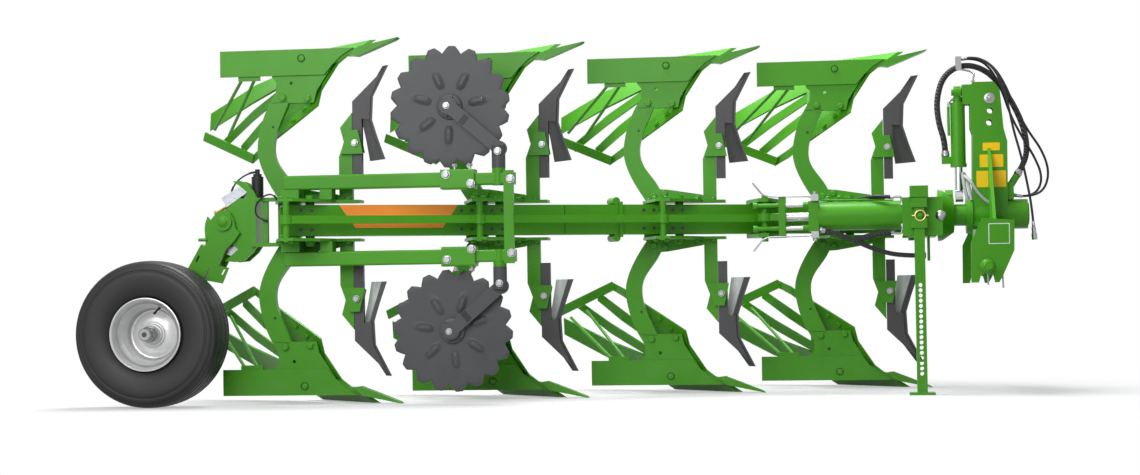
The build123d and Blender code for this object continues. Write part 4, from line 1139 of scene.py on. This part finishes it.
# flat fields on the beam's near face: finish, thickness, corner radius, and the corners' x and height
BEAM_FIELDS = {
    "orange_stripe": ("orange", 0.0007, 0.0010, [(-278, 74), (-205, -37), (188, -38), (257, 73)]),
    # the seam is a thin dark strip of painted shade
    "beam_seam": ("groove", 0.0006, 0.0008, [(754, 70), (754, -68), (757.5, -68), (757.5, 70)]),
}


def add_flat_pieces():
    """Blank plates, and the stripe of the beam and its seam, a thin dark strip of painted shade."""
    for name, (finish, y, left, low, right, top, thick) in PLATES.items():
        bm = bmesh.new()
        corners = [spot(left, y, low), spot(right, y, low), spot(right, y, top), spot(left, y, top)]
        rounded_plate(bm, corners, NEAR, thick, 0.003)
        piece(name, bm, finish, "headstock")
    for name, (finish, thick, radius, corners) in BEAM_FIELDS.items():
        bm = bmesh.new()
        rounded_plate(bm, [on_beam(x, 0.2, z) for x, z in corners], BEAM_OUT, thick, radius)
        piece(name, bm, finish, "beam")


def add_pins():
    """Pin heads and caps, and the ring through the stand's pin."""
    for name, (finish, body, discs) in PIN_HEADS.items():
        bm = bmesh.new()
        for disc in discs:
            disc_on(bm, *disc)
        piece(name, bm, finish, body, crisp=30.0)
    bm = bmesh.new()
    ring_on(bm, spot(2509, 430.9, -13), NEAR, 0.025, 0.0032)
    for x in (2477, 2541):
        rod(bm, 0.0035, -0.008, 0.008, spot(x, 427.5, -13), AHEAD, 12)
    piece("stand_pin_ring", bm, "gold", "turning_frame", crisp=40.0)


def add_cylinder_nuts():
    """Nuts at the elbows of the width cylinder."""
    bm = bmesh.new()
    for sign in (1, -1):
        rod(bm, 0.010, 0.0, 0.018, on_cylinder(-104, -56, sign * 88), AHEAD, 6)
        rod(bm, 0.010, 0.0, 0.014, on_cylinder(-47, -55, sign * 60), DOWN * sign, 6)
    piece("elbow_nuts", bm, "zinc", "width_barrel", crisp=30.0)


def add_arm_details():
    """The stop bolts of the wheel's bracket and the handle of its arm's latch."""
    bm = bmesh.new()
    for foot, end in ((spot(-862, -6, 82), spot(-925, -6, 46)), (spot(-898, -6, -146), spot(-975, -6, -153))):
        way = end - foot
        shank = way.length - 0.012
        bolt = [(0, 0), (0, 0.0075), (shank, 0.0075), (shank, 0.015), (way.length, 0.014), (way.length, 0)]
        turned(bm, bolt, foot, way, 6)
    piece("stop_bolts", bm, "copper", "console_0", crisp=30.0)
    bm = bmesh.new()
    rod(bm, 0.008, 0.0, 0.044, spot(-992, -62, -81), AHEAD, 16)
    piece("latch_handle", bm, "green", "wheel_arm", crisp=30.0)


# Operators

class PLOUGH_OT_stage(bpy.types.Operator):
    """Build the floor, the lamps and the camera"""
    bl_idname = "plough.stage"
    bl_label = "Studio"

    def execute(self, context):
        add_stage()
        return {"FINISHED"}


class PLOUGH_OT_finishes(bpy.types.Operator):
    """Mix the finishes and paint the frame's nodes"""
    bl_idname = "plough.finishes"
    bl_label = "Finishes"

    def execute(self, context):
        mix_finishes()
        paint_nodes()
        return {"FINISHED"}


class PLOUGH_OT_cords(bpy.types.Operator):
    """Lay the hoses and cables"""
    bl_idname = "plough.cords"
    bl_label = "Hoses"

    def execute(self, context):
        add_cords()
        return {"FINISHED"}


class PLOUGH_OT_fittings(bpy.types.Operator):
    """Add the pins, pipes, plates and stripes"""
    bl_idname = "plough.fittings"
    bl_label = "Fittings"

    def execute(self, context):
        add_pipes()
        add_pins()
        add_cylinder_nuts()
        add_arm_details()
        add_flat_pieces()
        return {"FINISHED"}


class PLOUGH_OT_wheel(bpy.types.Operator):
    """Make the tyre, the rim and the hub"""
    bl_idname = "plough.wheel"
    bl_label = "Wheel"

    def execute(self, context):
        add_tyre()
        add_rim()
        return {"FINISHED"}


class PLOUGH_OT_discs(bpy.types.Operator):
    """Make the two notched coulter discs"""
    bl_idname = "plough.discs"
    bl_label = "Coulter discs"

    def execute(self, context):
        add_discs()
        return {"FINISHED"}


class PLOUGH_OT_bolts(bpy.types.Operator):
    """Set the bolts on every body"""
    bl_idname = "plough.bolts"
    bl_label = "Bolts"

    def execute(self, context):
        add_bolts()
        return {"FINISHED"}


class PLOUGH_PT_panel(bpy.types.Panel):
    """Sizes, colours and the steps that build the looks"""
    bl_idname = "PLOUGH_PT_panel"
    bl_label = "Plough looks"
    bl_space_type = "VIEW_3D"
    bl_region_type = "UI"
    bl_category = "Plough"

    def draw(self, context):
        layout = self.layout
        for group in (context.scene.plough_paint, context.scene.plough_sizes):
            for key in group.__annotations__:
                layout.prop(group, key)
        for step in STEPS:
            layout.operator(step.bl_idname)


GROUPS = (PloughPaint, PloughSizes)
STEPS = (PLOUGH_OT_stage, PLOUGH_OT_finishes, PLOUGH_OT_cords, PLOUGH_OT_wheel, PLOUGH_OT_discs,
         PLOUGH_OT_fittings, PLOUGH_OT_bolts)


def register():
    for cls in GROUPS + STEPS + (PLOUGH_PT_panel,):
        bpy.utils.register_class(cls)
    bpy.types.Scene.plough_paint = PointerProperty(type=PloughPaint)
    bpy.types.Scene.plough_sizes = PointerProperty(type=PloughSizes)


def unregister():
    del bpy.types.Scene.plough_sizes
    del bpy.types.Scene.plough_paint
    for cls in reversed(GROUPS + STEPS + (PLOUGH_PT_panel,)):
        bpy.utils.unregister_class(cls)


def main():
    register()
    bpy.ops.plough.stage()
    bpy.ops.plough.finishes()
    bpy.ops.plough.cords()
    bpy.ops.plough.wheel()
    bpy.ops.plough.discs()
    bpy.ops.plough.fittings()
    bpy.ops.plough.bolts()


if __name__ == "__main__":
    main()
